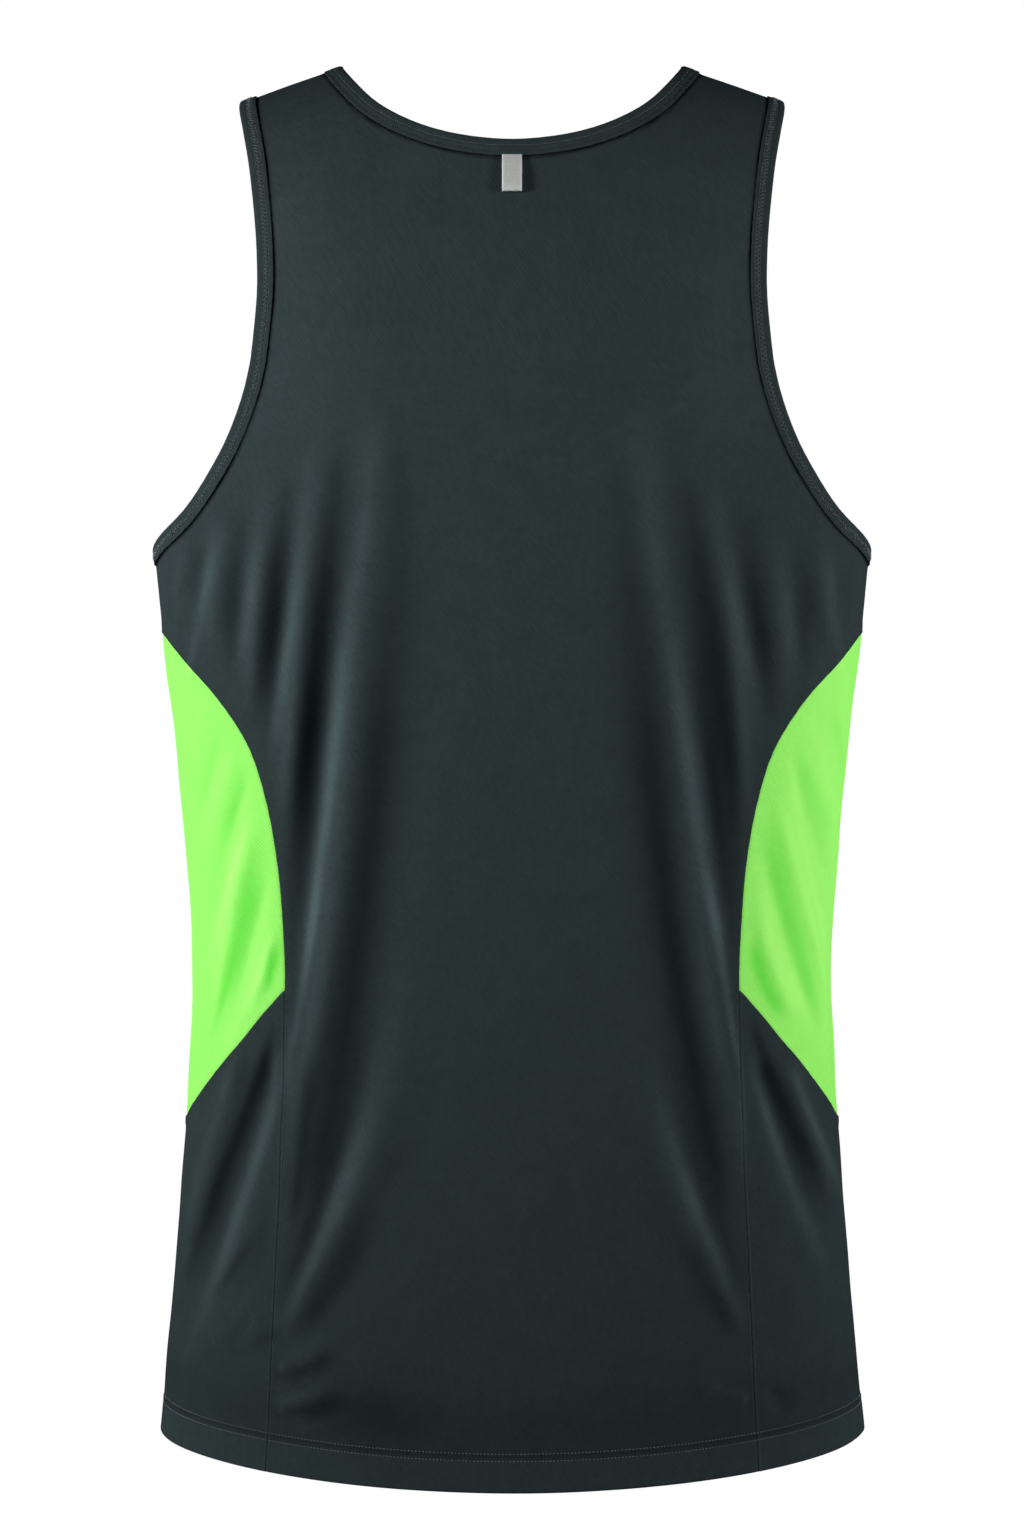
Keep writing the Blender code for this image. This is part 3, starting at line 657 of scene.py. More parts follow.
HEM_GROOVE = 0.35
HEM_GROOVE_WIDTH = 0.7
HEM_LIFT = 0.35
HEM_LIFT_EDGE = (-0.6, 0.8)
HEM_PUCKER = 0.09
HEM_PUCKER_REACH = 4.0
HEM_PUCKER_PACE = 0.83


def hem_relief(around, level):
    """The turned-up hem's imprint: a thicker band, a groove at each stitch row and puckers."""
    rise = level - hem_level(around)
    top, lower = HEM_STITCH_ROWS
    height = HEM_LIFT * (1 - smoothstep(*(top + edge for edge in HEM_LIFT_EDGE), rise))
    for row in HEM_STITCH_ROWS:
        height = height - HEM_GROOVE * bump(rise - row, HEM_GROOVE_WIDTH)
    wave = HEM_PUCKER * pucker_wave(girth_of(around) * HEM_PUCKER_PACE)
    return height + wave * np.exp(-np.abs(rise - (top + lower) / 2) / HEM_PUCKER_REACH)


# Painted light on the hem band, a painted shade band above it and a painted shadow between the
# hem's stitch rows
HEM_BAND_PAINTED_LIGHT = 0.17
HEM_BAND_FADE = 0.4
HEM_BAND_EDGE = 0.4
HEM_SHADE = 0.13
HEM_SHADE_RISE = 31.0
HEM_SHADE_WIDTH = 15.0
HEM_GAP_SHADE = 0.42
HEM_GAP_RISE = 0.4
HEM_GAP_WIDTH = 1.1


def hem_painted_shading(around, level):
    """Painted light and shade on the hem: the double hem painted lighter towards its edge, a
    painted shade band over it, and a painted shadow between its two stitch rows.
    """
    rise = level - hem_level(around)
    top = HEM_STITCH_ROWS[0]
    over = smoothstep(top - HEM_BAND_EDGE, top + HEM_BAND_EDGE, rise)
    band = (1 - over) * (1 - HEM_BAND_FADE * rise / top)
    above = over * bump(rise - HEM_SHADE_RISE, HEM_SHADE_WIDTH)
    gap = bump(rise - np.mean(HEM_STITCH_ROWS) - HEM_GAP_RISE, HEM_GAP_WIDTH)
    return HEM_BAND_PAINTED_LIGHT * band - HEM_SHADE * above - HEM_GAP_SHADE * gap


def folded_form(around, level, sizes):
    """Points on the form with only the folds worked into it."""
    height = sizes.fold_strength * fold_height(around, level)
    return form(around, level) + outward(around, level) * height[..., None]


class Cloth:
    """The outer face of one cut piece: the form with folds, seams and hem worked into it."""

    def __init__(self, seams, has_hem, sizes):
        self.seams = seams
        self.has_hem = has_hem
        self.fold_strength = sizes.fold_strength

    def place(self, around, level, out=0.0):
        """Points on the cloth, or at the height out over it.

        The cloth's height is the sum of its folds, its swell, its hem and its seams.
        """
        shape = np.shape(around)
        points = form(around, level).reshape(-1, 3)
        height = self.fold_strength * fold_height(around, level)
        height = height + swell_height(points).reshape(shape)
        if self.has_hem:
            height = height + hem_relief(around, level)
        relief, tone = seam_relief(points, self.seams)
        self.seam_tone = tone.reshape(shape)
        height = height + relief.reshape(shape) + out
        return form(around, level) + outward(around, level) * height[..., None]

    def tone(self, around, level):
        """The painted light and shade of the cloth just placed: by its folds, its seams and its
        hem.
        """
        tone = fold_light(around, level) + self.seam_tone
        if self.has_hem:
            tone = tone + hem_painted_shading(around, level)
        return tone


# ---------------------------------------------------------------- meshes from whole arrays


def piece_from(name, points, faces, material):
    """A smooth piece from points in millimetres and faces as lists of point numbers."""
    mesh = bpy.data.meshes.new(name)
    mesh.from_pydata(points * MM, [], faces)
    mesh.shade_smooth()
    mesh.materials.append(material)
    piece = bpy.data.objects.new(name, mesh)
    bpy.context.scene.collection.objects.link(piece)
    return piece


def grid_faces(pattern, rows, columns, closed):
    """Faces of a grid of rows by columns of points, and the flat places of their corners.

    A closed grid's last row meets its first, and its pattern has one more row for that.
    """
    count = (rows if closed else rows - 1) * (columns - 1)
    row, column = np.divmod(np.arange(count), columns - 1)
    corners = ((row, column), (row, column + 1), (row + 1, column + 1), (row + 1, column))
    faces = np.stack([at % rows * columns + over for at, over in corners], axis=1)
    return faces, np.stack([pattern[at, over] for at, over in corners], axis=1)


def grid_piece(
    name, points, pattern, material, thickness, offset=0.0, middle=None, closed=False, tone=None
):
    """A piece from a grid of points and the flat places of its pattern, with a wall.

    If middle is given, its faces are turned, if need be, so that they point away from it.
    """
    faces, flat = grid_faces(pattern, *points.shape[:2], closed)
    corners = points.reshape(-1, 3)
    if middle is not None:
        a, b, d = (corners[faces[:, k]] for k in (0, 1, 3))
        away = (points - middle).reshape(-1, 3)[faces[:, 0]]
        if (np.cross(b - a, d - a) * away).sum() < 0:
            faces, flat = faces[:, ::-1], flat[:, ::-1]
    piece = piece_from(name, corners, faces.tolist(), material)
    layer = piece.data.uv_layers.new(name="cloth")
    layer.data.foreach_set("uv", (flat * MM).astype(np.float32).ravel())
    # The tone is painted light and shade, carried to the material's colour
    if tone is not None:
        layer = piece.data.attributes.new("painted_light_and_shade", "FLOAT", "POINT")
        layer.data.foreach_set("value", tone.astype(np.float32).ravel())
    wall = piece.modifiers.new("wall", "SOLIDIFY")
    wall.thickness = thickness
    wall.offset = offset
    wall.use_even_offset = False
    return piece


def on_frame(piece, slot, node, sewing=(), **sheet):
    """Puts a piece and its stitches on the frame's only body, and hides the frame's own part for
    it.
    """
    for one in (piece, *sewing):
        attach(one, "root")
    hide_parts(node)
    if sewing:
        sheet["with_pieces"] = sewing


# ---------------------------------------------------------------- cut pieces


def flat_places(line):
    return np.stack([girth_of(line[..., 0]), line[..., 1]], -1)


def read_line(line, shares, sideways=1.0):
    """Flat places at shares of a flat line's length, with sideways distance weighted."""
    along = run_length(line * (sideways, 1))
    return read_rows(shares * along[-1], along, line)


def mirrored_line(line, middle):
    """A flat line and its mirror image about a girth, as one line through the line's end."""
    return np.concatenate([line, mirror_flat(line, middle)[-2::-1]])


def mirror_flat(flat, middle):
    return (flat - (middle, 0)) * (-1, 1) + (middle, 0)


def relaxed(left, right, bottom, top):
    """A coarse grid of flat places between four lines, relaxed so that no cell folds over.

    It starts as the blend of the four lines. Each inner place then moves again and again to a
    mean of its neighbours, weighted by the squared spacing in the other direction, with the
    twist of the diagonal neighbours taken off: Winslow's equations for a smooth grid.
    """
    rows, columns = len(left), len(bottom)
    up = np.linspace(0, 1, rows)[:, None, None]
    over = np.linspace(0, 1, columns)[None, :, None]
    grid = (
        left[:, None] * (1 - over) + right[:, None] * over
        + bottom[None] * (1 - up) + top[None] * up
        - (bottom[0] * (1 - over) + bottom[-1] * over) * (1 - up)
        - (top[0] * (1 - over) + top[-1] * over) * up
    )
    for _ in range(RELAX_ROUNDS):
        by_column = (grid[1:-1, 2:] - grid[1:-1, :-2]) / 2
        by_row = (grid[2:, 1:-1] - grid[:-2, 1:-1]) / 2
        column_size = (by_column**2).sum(-1, keepdims=True)
        row_size = (by_row**2).sum(-1, keepdims=True)
        lean = (by_column * by_row).sum(-1, keepdims=True)
        twist = grid[2:, 2:] - grid[2:, :-2] - grid[:-2, 2:] + grid[:-2, :-2]
        grid[1:-1, 1:-1] = (
            row_size * (grid[1:-1, 2:] + grid[1:-1, :-2])
            + column_size * (grid[2:, 1:-1] + grid[:-2, 1:-1])
            - lean * twist / 2
        ) / (2 * (row_size + column_size))
    return grid


def graded(count, lines):
    """Shares along flat lines that close up to fixed steps in millimetres near both ends."""
    edge = np.array(EDGE_STEPS)
    even = np.linspace(0, 1, count - 2 * len(edge) + 2)
    shares = np.linspace(0, 1, lines.shape[1])
    found = []
    for line in lines:
        along = run_length(line)
        low = np.interp(edge, along, shares)
        high = np.interp(along[-1] - edge[::-1], along, shares)
        found.append(np.concatenate([low[:-1], low[-1] + (high[0] - low[-1]) * even, high[1:]]))
    return np.array(found)


def between(rows, shares):
    """Rows of an array read at shares of the way through them."""
    at = shares * (len(rows) - 1)
    first = np.minimum(at.astype(int), len(rows) - 2)
    part = (at - first).reshape(-1, 1, 1)
    return rows[first] * (1 - part) + rows[first + 1] * part


def patch(left, right, bottom, top, rows, columns, sideways=1.0):
    """Flat places of a fine grid between four lines, with close rows and columns at its edges.

    A coarse relaxed grid is read between its places. What is then missing to the exact lines is
    added, and dies away over the width of one coarse cell.
    """
    up, over = np.linspace(0, 1, COARSE_ROWS), np.linspace(0, 1, COARSE_COLUMNS)
    coarse = relaxed(
        read_line(left, up, sideways),
        read_line(right, up, sideways),
        read_line(bottom, over),
        read_line(top, over),
    )
    across = graded(columns, between(coarse, np.linspace(0, 1, rows)))
    along = graded(rows, between(coarse.swapaxes(0, 1), np.linspace(0, 1, columns))).T
    row = np.clip((along * (COARSE_ROWS - 1)).astype(int), 0, COARSE_ROWS - 2)
    column = np.clip((across * (COARSE_COLUMNS - 1)).astype(int), 0, COARSE_COLUMNS - 2)
    v = (along * (COARSE_ROWS - 1) - row)[..., None]
    u = (across * (COARSE_COLUMNS - 1) - column)[..., None]
    flat = (
        coarse[row, column] * (1 - u) * (1 - v)
        + coarse[row, column + 1] * u * (1 - v)
        + coarse[row + 1, column] * (1 - u) * v
        + coarse[row + 1, column + 1] * u * v
    )
    near = (COARSE_COLUMNS - 1) * np.stack([across, 1 - across])
    near_rows = (COARSE_ROWS - 1) * np.stack([along, 1 - along])
    reach = np.clip(1 - near, 0, 1)[..., None]
    reach_rows = np.clip(1 - near_rows, 0, 1)[..., None]
    flat += (read_line(left, along[:, 0], sideways) - flat[:, 0])[:, None] * reach[0]
    flat += (read_line(right, along[:, -1], sideways) - flat[:, -1])[:, None] * reach[1]
    flat += (read_line(bottom, across[0]) - flat[0])[None] * reach_rows[0]
    flat += (read_line(top, across[-1]) - flat[-1])[None] * reach_rows[1]
    return flat


def above_hem(seam_line):
    """A princess seam's flat line from the highest of the hem's own rows up."""
    rise = seam_line[:, 1] - hem_level(seam_line[:, 0])
    around = np.interp(HEM_STEPS[-1], rise, seam_line[:, 0])
    foot = (around, hem_level(around) + HEM_STEPS[-1])
    return flat_places(np.concatenate([[foot], seam_line[rise > HEM_STEPS[-1] + 0.1]]))


def with_hem(flat, left_seam, right_seam):
    """The patch with the hem's rows below it, at their own rises over the finished edge."""
    share = (flat[0, :, 0] - flat[0, 0, 0]) / (flat[0, -1, 0] - flat[0, 0, 0])
    rise = np.array(HEM_STEPS[:-1])
    ends = [
        np.interp(rise, line[:, 1] - hem_level(line[:, 0]), girth_of(line[:, 0]))
        for line in (left_seam, right_seam)
    ]
    girth = ends[0][:, None] + (ends[1] - ends[0])[:, None] * share
    low = np.stack([girth, hem_level(around_of(girth)) + rise[:, None]], -1)
    return np.concatenate([low, flat])


def hem_line(first, last):
    """The flat line of the hem's highest row between two flat places."""
    girth = np.linspace(first[0], last[0], LONG_SAMPLES)
    return np.stack([girth, hem_level(around_of(girth)) + HEM_STEPS[-1]], -1)


def hem_turn(first_row):
    """Rows that carry a grid on below its lowest row: round the hem's fold and up inside.

    They are flat places and heights: a half circle of the fold's radius, and then the inner
    layer at twice the radius under the outer one.
    """
    turn = np.linspace(np.pi, 0, HEM_TURN_STEPS + 2)[:-1]
    rise = np.concatenate([HEM_INNER_STEPS, HEM_FOLD_RADIUS * (1 - np.sin(turn))])
    out = HEM_FOLD_RADIUS * np.concatenate([[-2.0] * len(HEM_INNER_STEPS), np.cos(turn) - 1])
    rows = np.repeat(first_row[None], len(rise), axis=0)
    rows[..., 1] += (rise - HEM_STEPS[0])[:, None]
    wrapped = np.repeat(first_row[None], len(rise), axis=0)
    wrapped[..., 1] -= HEM_PATTERN_STEP * np.arange(len(rise), 0, -1)[:, None]
    return rows, np.repeat(out[:, None], len(first_row), axis=1), wrapped


def cut_piece(name, flat, cloth, material, sizes):
    """One cut piece's object: its flat grid bent round the form, with a wall."""
    parts = [(np.stack([flat[..., 0], np.minimum(flat[..., 1], 0)], -1), 0.0, flat)]
    if cloth.has_hem:
        parts.insert(0, hem_turn(flat[0]))
    found = []
    for places, out, pattern in parts:
        around, level = around_of(places[..., 0]), places[..., 1]
        found.append((cloth.place(around, level, out), cloth.tone(around, level), pattern))
    points, tone, pattern = (np.concatenate(part) for part in zip(*found))
    middle_line = points * (0, 0, 1)
    return grid_piece(
        name, points, pattern, material, sizes.cloth_thickness, middle=middle_line, tone=tone
    )


def body_grid(lines, turned, columns):
    """The flat grid of the back (turned 1) or the front (turned -1)."""
    middle = girth_of(90.0 * turned)
    princess = lines.princess[turned]
    upper = np.concatenate([lines.insert_top[1:], lines.side_seam[1:]]) * (turned, 1)
    arm = lines.arm[turned][1:]
    left = np.concatenate([above_hem(princess), flat_places(upper), flat_places(arm)])
    top = np.concatenate([lines.shoulder * (turned, 1), lines.neck[turned][1:]])
    top = mirrored_line(flat_places(top), middle)
    right = mirror_flat(left, middle)
    bottom = hem_line(left[0], right[0])
    flat = patch(left, right, bottom, top, BODY_ROWS, columns, SIDEWAYS_WEIGHT)
    return with_hem(flat, princess, OTHER_SIDE[turned](princess))


def body_seams(lines, turned):
    """The seams of the back or the front, on both sides: groove, allowance, pucker and painted
    shadow.
    """
    found = []
    for line, *relief in (
        (lines.princess[turned], 0.4, 0.0, 0.1, 0.0),
        (lines.insert_top * (turned, 1), 0.4, 0.22, 0.1, 0.0),
        (lines.side_seam * (turned, 1), 0.5, 0.0, 0.1, 0.0),
        # The armhole and neck lines paint a shadow on the cloth beside the binding's lip
        (lines.arm[turned], 0.2, 0.0, 0.14, 0.85),
        (lines.shoulder * (turned, 1), 0.5, 0.0, 0.05, 0.0),
        (lines.lip[turned], 0.2, 0.0, 0.12, 0.8),
    ):
        found += [seam(line, *relief), seam(OTHER_SIDE[turned](line), *relief)]
    return found


def insert_grid(lines):
    """The left insert's flat grid, from its back corner round to its front corner."""
    side = girth_of(0.0)
    split = np.argmax(run_length(form(*lines.insert_top.T)) > INSERT_SIDE_LENGTH)
    left = flat_places(lines.insert_top[: split + 1])
    top = mirrored_line(flat_places(lines.insert_top[split:]), side)
    bottom = mirrored_line(flat_places(lines.insert_lower), side)
    return patch(left, mirror_flat(left, side), bottom, top, INSERT_ROWS, INSERT_COLUMNS)


def side_panel_grid(lines):
    """The left side panel's flat grid, from its back princess seam to its front one."""
    princess = lines.princess.values()
    left, right = map(above_hem, princess)
    top = mirrored_line(flat_places(lines.insert_lower), girth_of(0.0))
    bottom = hem_line(left[0], right[0])
    flat = patch(left, right, bottom, top, SIDE_PANEL_ROWS, SIDE_PANEL_COLUMNS)
    return with_hem(flat, *princess)


# ---------------------------------------------------------------- bindings

# A binding's section: across is 0 at the seam and 1 at the finished edge, and out is the height
# over the middle of the cloth. It runs from the outer lip round the edge to the inner lip.
BINDING_SECTION = np.array([
    (-0.13, 1.02), (-0.10, 1.16), (-0.04, 1.22), (0.04, 1.22), (0.10, 1.16), (0.13, 1.12),
    (0.16, 1.16), (0.24, 1.36), (0.34, 1.46), (0.42, 1.44), (0.48, 1.36), (0.54, 1.44),
    (0.64, 1.48), (0.76, 1.42), (0.86, 1.25), (0.94, 0.95), (0.985, 0.5), (1.0, 0.0),
    (0.985, -0.5), (0.94, -0.95), (0.86, -1.2), (0.66, -1.36), (0.40, -1.38), (0.16, -1.28),
    (-0.02, -1.16), (-0.12, -1.04),
])
BINDING_STITCH_ROWS = (0.13, 0.48)
BINDING_STATION = 1.5
BINDING_FACE_ROWS = 14
BINDING_MIDDLE_ROW = 8
BINDING_WALL_SHARE = 0.7
BINDING_PUCKER = 0.14
BINDING_PUCKER_FADE = 0.7
LOOP_BULGE = 1.05
LOOP_BULGE_HALF_WIDTH = 6.2
LOOP_BULGE_FADE = (0.05, 0.75)


def binding_points(seam_line, edge_line, sizes, loop_under, section):
    """Points of a binding's section carried round a closed seam.

    A point is the seam's, plus the section's share of the way to the edge, plus the section's
    height along the mean outward direction. The outer face puckers a little along its run, and
    bulges where the hanger loop is sewn in under it.
    """
    starts, ends = (folded_form(*line.T, sizes) for line in (seam_line, edge_line))
    out = unit(outward(*seam_line.T) + outward(*edge_line.T))
    along = run_length(starts)
    across, height = section.T
    outer = height > 0
    pucker = BINDING_PUCKER * np.where(outer, 1 - across * BINDING_PUCKER_FADE, 0)
    raised = height + pucker_wave(along)[:, None] * pucker
    if loop_under:
        beside = np.abs(starts[:, :1]) / LOOP_BULGE_HALF_WIDTH
        lift = LOOP_BULGE * np.exp(-(beside**6)) * (starts[:, 1:2] > 0)
        raised = raised + lift * np.where(outer, 1 - smoothstep(*LOOP_BULGE_FADE, across), 0)
    across = across[None, :, None]
    points = starts[:, None] + (ends - starts)[:, None] * across
    return points + out[:, None] * raised[..., None], along


def closed_spaced(loop, other):
    """A closed line and its partner, taken at even steps of the first line's real length."""
    along = run_length(form(*np.concatenate([loop, loop[:1]]).T))
    wanted = np.linspace(0, along[-1], int(along[-1] / BINDING_STATION) + 1)[:-1]
    nearest = np.searchsorted(along, wanted).clip(0, len(loop) - 1)
    return loop[nearest], other[nearest]


def length_grid(long, wide):
    """Flat places of a straight strip from its lengths and its widths."""
    return np.stack(np.meshgrid(long, wide, indexing="ij"), axis=-1)


def binding_piece(name, material, seam_line, edge_line, sizes, loop_under):
    """A binding's object: its section carried round, with a thin wall inwards."""
    strip = (seam_line, edge_line, sizes, loop_under)
    points, along = binding_points(*strip, BINDING_SECTION)
    first, last = points[[0, -1], BINDING_MIDDLE_ROW]
    long = [*along, along[-1] + np.linalg.norm(first - last)]
    pattern = length_grid(long, run_length(points[0]))
    thickness = sizes.cloth_thickness * BINDING_WALL_SHARE
    middle = points.mean(axis=1, keepdims=True)
    return grid_piece(name, points, pattern, material, thickness, -1.0, middle, closed=True)


# ---------------------------------------------------------------- stitches

STITCH_SIDES = 5
STITCH_RINGS = ((-0.62, 0.85), (0.0, 1.0), (0.62, 0.85))
STITCH_ARCH = 0.10
STITCH_TIP = -0.4
STITCH_LIFT = 0.42
BINDING_STITCH_LIFT = 0.05
# Length and radius of each kind of stitch, and of the zigzag's thread
SEAM_STITCH = (0.8, 0.11)
HEM_STITCH = (1.1, 0.2)
BINDING_STITCH = (0.85, 0.15)
ZIGZAG_RADIUS = 0.12
# How far the stitches beside a seam stand from it, and the line's places left free at each end
SEAM_STITCH_ASIDE = 1.4
SEAM_STITCH_FREE = 2


def stitch_template():
    """One stitch as points (along, aside, out) and faces: a short thread with pointed ends."""
    angles = np.arange(STITCH_SIDES) * 2 * np.pi / STITCH_SIDES
    rings = [
        np.stack([np.full(STITCH_SIDES, at), np.cos(angles) * size, np.sin(angles) * size], -1)
        for at, size in STITCH_RINGS
    ]
    points = np.concatenate([[(-1, 0, STITCH_TIP)], *rings, [(1, 0, STITCH_TIP)]])
    side = np.arange(STITCH_SIDES)
    after = (side + 1) % STITCH_SIDES
    turns = np.stack([side, after, STITCH_SIDES + after, STITCH_SIDES + side], -1)
    quads = np.concatenate([turns + low for low in (1, 1 + STITCH_SIDES)])
    last = len(points) - 1
    high = last - STITCH_SIDES
    start = np.stack([np.zeros_like(side), after + 1, side + 1], -1)
    end = np.stack([np.full_like(side, last), high + side, high + after], -1)
    return points, quads, np.concatenate([start, end])


def stitches_piece(name, rows, material):
    """One object of all of a piece's stitches: the template laid along each one's run.

    rows holds (centres, along, out, length, radius).
    """
    template, quads, triangles = stitch_template()
    ahead, aside, up = (column[None, :, None] for column in template.T)
    points, faces, count = [], [], 0
    for centres, along, out, length, radius in rows:
        along, side, out = (one[:, None] for one in (along, np.cross(out, along), out))
        reach = along * (ahead * length / 2) + side * (aside * radius)
        reach = reach + out * (up * radius + STITCH_ARCH * (1 - ahead**2))
        points.append((centres[:, None] + reach).reshape(-1, 3))
        starts = count + (np.arange(len(centres)) * len(template))[:, None, None]
        for corners in (quads, triangles):
            faces += (starts + corners).reshape(-1, corners.shape[1]).tolist()
        count += len(points[-1])
    return piece_from(name, np.concatenate(points), faces, material)


def stitches_on_line(cloth, line, pitch, length, radius):
    """Stitches laid on a cut piece's cloth along a line of places."""
    count = int(run_length(form(*line.T))[-1] / (pitch / MM))
    fine = even_line(line, 2 * count)
    points = cloth.place(*fine.T, out=STITCH_LIFT)
    return points[1::2], unit(points[2::2] - points[:-2:2]), outward(*fine[1::2].T), length, radius


def stitches_on_binding(
    seam_line, edge_line, sizes, loop_under, share, length, radius, reach=0.0
):
    """Stitches laid on a binding's outer face at a share of its width.

    With a reach they lean to either side by turns, as zigzag cover stitches do.
    """
    pitch = sizes.binding_stitch / MM
    height = np.interp(share, *BINDING_SECTION[:BINDING_FACE_ROWS].T)
    strip = (seam_line, edge_line, sizes, loop_under)
    ring = binding_points(*strip, np.array([(share, height)]))[0][:, 0]
    ring = np.concatenate([ring, ring[:1]])
    along = run_length(ring)
    wanted = np.linspace(0, along[-1], 2 * int(along[-1] / pitch) + 1)
    fine = read_rows(wanted, along, ring)
    out = unit(outward(*seam_line.T) + outward(*edge_line.T))
    up = unit(read_rows(wanted[1::2], along, np.concatenate([out, out[:1]])))
    run = unit(fine[2::2] - fine[:-2:2])
    turns = np.where(np.arange(len(run)) % 2, reach, -reach)[:, None]
    run = unit(run * pitch + np.cross(up, run) * turns)
    return fine[1::2] + up * BINDING_STITCH_LIFT, run, up, length, radius


def sewn(shop, node, cloth, seam_lines, middle, half):
    """A piece's stitches: a row beside each seam, and the hem's two rows across the piece.

    seam_lines holds each line and the distance its stitches stand to the left of its run.
    """
    free, sizes = SEAM_STITCH_FREE, shop.sizes
    around = np.linspace(middle - half, middle + half, LONG_SAMPLES)
    hem_lines = [np.stack([around, hem_level(around) + rise], -1) for rise in HEM_STITCH_ROWS]
    lines = [moved_aside(line[free:-free], aside) for line, aside in seam_lines]
    return [
        stitches_piece(
            f"{node}_{kind}", [stitches_on_line(cloth, one, pitch, *size) for one in some], thread
        )
        for kind, some, pitch, size, thread in (
            # Seam stitches in near-black thread, which also paints the shade of their stitch holes
            ("stitches", lines, sizes.seam_stitch, SEAM_STITCH, shop.seam_thread_and_shade),
            ("hem_stitches", hem_lines, sizes.hem_stitch, HEM_STITCH, shop.hem_thread),
        )
    ]


# ---------------------------------------------------------------- hanger loop

LOOP_WIDTH = 10.0
LOOP_COLUMNS = 15
LOOP_SAMPLES = 5
LOOP_SELVEDGE = 1.0
LOOP_SELVEDGE_HEIGHT, LOOP_SELVEDGE_WIDTH = 0.12, 0.5
LOOP_BOW = 0.22
LOOP_FREE_FROM = 8.0
# How far above the neck strip's lip the tape starts, and the height between its two layers
LOOP_START = 0.9
LOOP_MIDDLE = 2.0
# The tape's profile: how far down from its start, and how far out from the form
LOOP_PROFILE = np.array([
    (-0.65, 0.80), (1.90, 0.85), (5.08, 0.95), (10.16, 1.05), (15.25, 1.05), (19.69, 1.05),
    (21.97, 1.15), (23.12, 1.55), (23.50, 2.15), (23.12, 2.75), (22.09, 3.10), (19.69, 3.10),
    (15.25, 2.85), (10.16, 2.50), (5.71, 2.05), (2.80, 1.65), (1.01, 1.42), (-0.65, 1.36),
])


def loop_piece(lines, material, sizes):
    """The hanger loop: a tape folded once, its profile (down, out) carried across its width.

    The tape bows a little across and its selvedges stand up slightly.
    """
    seam_level = lines.neck_lip[0, 1] + LOOP_START
    levels = np.linspace(seam_level + 2, seam_level - 40, LONG_SAMPLES)
    along = run_length(folded_form(np.full(levels.shape, 90.0), levels, sizes))
    down, out = smooth_line(LOOP_PROFILE, LOOP_SAMPLES).T
    level = np.interp(down, along - np.interp(-seam_level, -levels, along), levels)
    around = np.full(level.shape, 90.0)
    across = np.linspace(-1, 1, LOOP_COLUMNS)
    inward = (1 - np.abs(across)) * LOOP_WIDTH / 2 - LOOP_SELVEDGE / 2
    selvedge = LOOP_SELVEDGE_HEIGHT * bump(inward, LOOP_SELVEDGE_WIDTH)
    bow = LOOP_BOW * (1 - across**2) * smoothstep(0, LOOP_FREE_FROM, down)[:, None]
    front = np.sign(out - LOOP_MIDDLE)[:, None]
    height = out[:, None] + front * selvedge + bow * (front > 0)
    points = form(around, level)[:, None] + outward(around, level)[:, None] * height[..., None]
    points[..., 0] += across * LOOP_WIDTH / 2
    pattern = length_grid(run_length(np.stack([down, out], -1)), across * LOOP_WIDTH / 2)
    return grid_piece("hanger_loop_tape", points, pattern, material, sizes.loop_thickness)


# ---------------------------------------------------------------- finishes


class Number:
    """A socket that carries a number, so that shader sums are written as Python ones."""

    def __init__(self, finish, socket):
        self.finish = finish
        self.socket = socket

    def maths(self, operation, *values):
        sockets = dict(enumerate(values))
        made = self.finish.node("ShaderNodeMath", {"operation": operation}, sockets)
        return Number(self.finish, made.outputs[0])

    def __add__(self, other):
        return self.maths("ADD", self, other)

    def __radd__(self, other):
        return self.maths("ADD", other, self)

    def __sub__(self, other):
        return self.maths("SUBTRACT", self, other)

    def __mul__(self, other):
        return self.maths("MULTIPLY", self, other)

    def sine(self):
        return self.maths("SINE", self)

    def limited(self, low, high):
        return self.maths("MINIMUM", self.maths("MAXIMUM", self, low), high)


class Finish:
    """A material and the short ways in which its nodes are added."""

    def __init__(self, name):
        self.material = bpy.data.materials.new(name)
        self.material.use_nodes = True
        self.tree = self.material.node_tree

    def put(self, socket, value):
        if isinstance(value, Number):
            value = value.socket
        if isinstance(value, bpy.types.NodeSocket):
            self.tree.links.new(value, socket)
        else:
            socket.default_value = value

    def node(self, kind, settings=None, sockets=None):
        made = self.tree.nodes.new(kind)
        for key, value in (settings or {}).items():
            setattr(made, key, value)
        for key, value in (sockets or {}).items():
            self.put(made.inputs[key], value)
        return made

    def made(self, sockets):
        """The material, with its shader's own sockets set or fed."""
        for name, value in sockets.items():
            self.put(self.tree.nodes["Principled BSDF"].inputs[name], value)
        return self.material

    def object_place(self):
        return self.node("ShaderNodeTexCoord").outputs["Object"]

    def noise(self, vector, scale, detail, roughness):
        sockets = {"Vector": vector, "Scale": scale, "Detail": detail, "Roughness": roughness}
        made = self.node("ShaderNodeTexNoise", {"noise_dimensions": "3D"}, sockets)
        return Number(self, made.outputs[0])

    def eased(self, value, low, high, start=0.0, end=1.0):
        """A number that goes softly from start to end while the value goes from low to high."""
        ends = {"From Min": low, "From Max": high, "To Min": start, "To Max": end}
        settings = {"interpolation_type": "SMOOTHSTEP"}
        made = self.node("ShaderNodeMapRange", settings, {"Value": value, **ends})
        return Number(self, made.outputs[0])

    def tinted(self, colour, *factors):
        """A colour times one number, or one a channel, that varies over the surface."""
        channels = dict(enumerate(factors if len(factors) == 3 else factors * 3))
        both = self.node("ShaderNodeCombineXYZ", None, channels).outputs[0]
        sockets = {0: (*colour[:3],), 1: both}
        return self.node("ShaderNodeVectorMath", {"operation": "MULTIPLY"}, sockets).outputs[0]

    def bumped(self, height, distance):
        sockets = {"Height": height, "Distance": distance, "Strength": 1.0}
        return self.node("ShaderNodeBump", None, sockets).outputs[0]


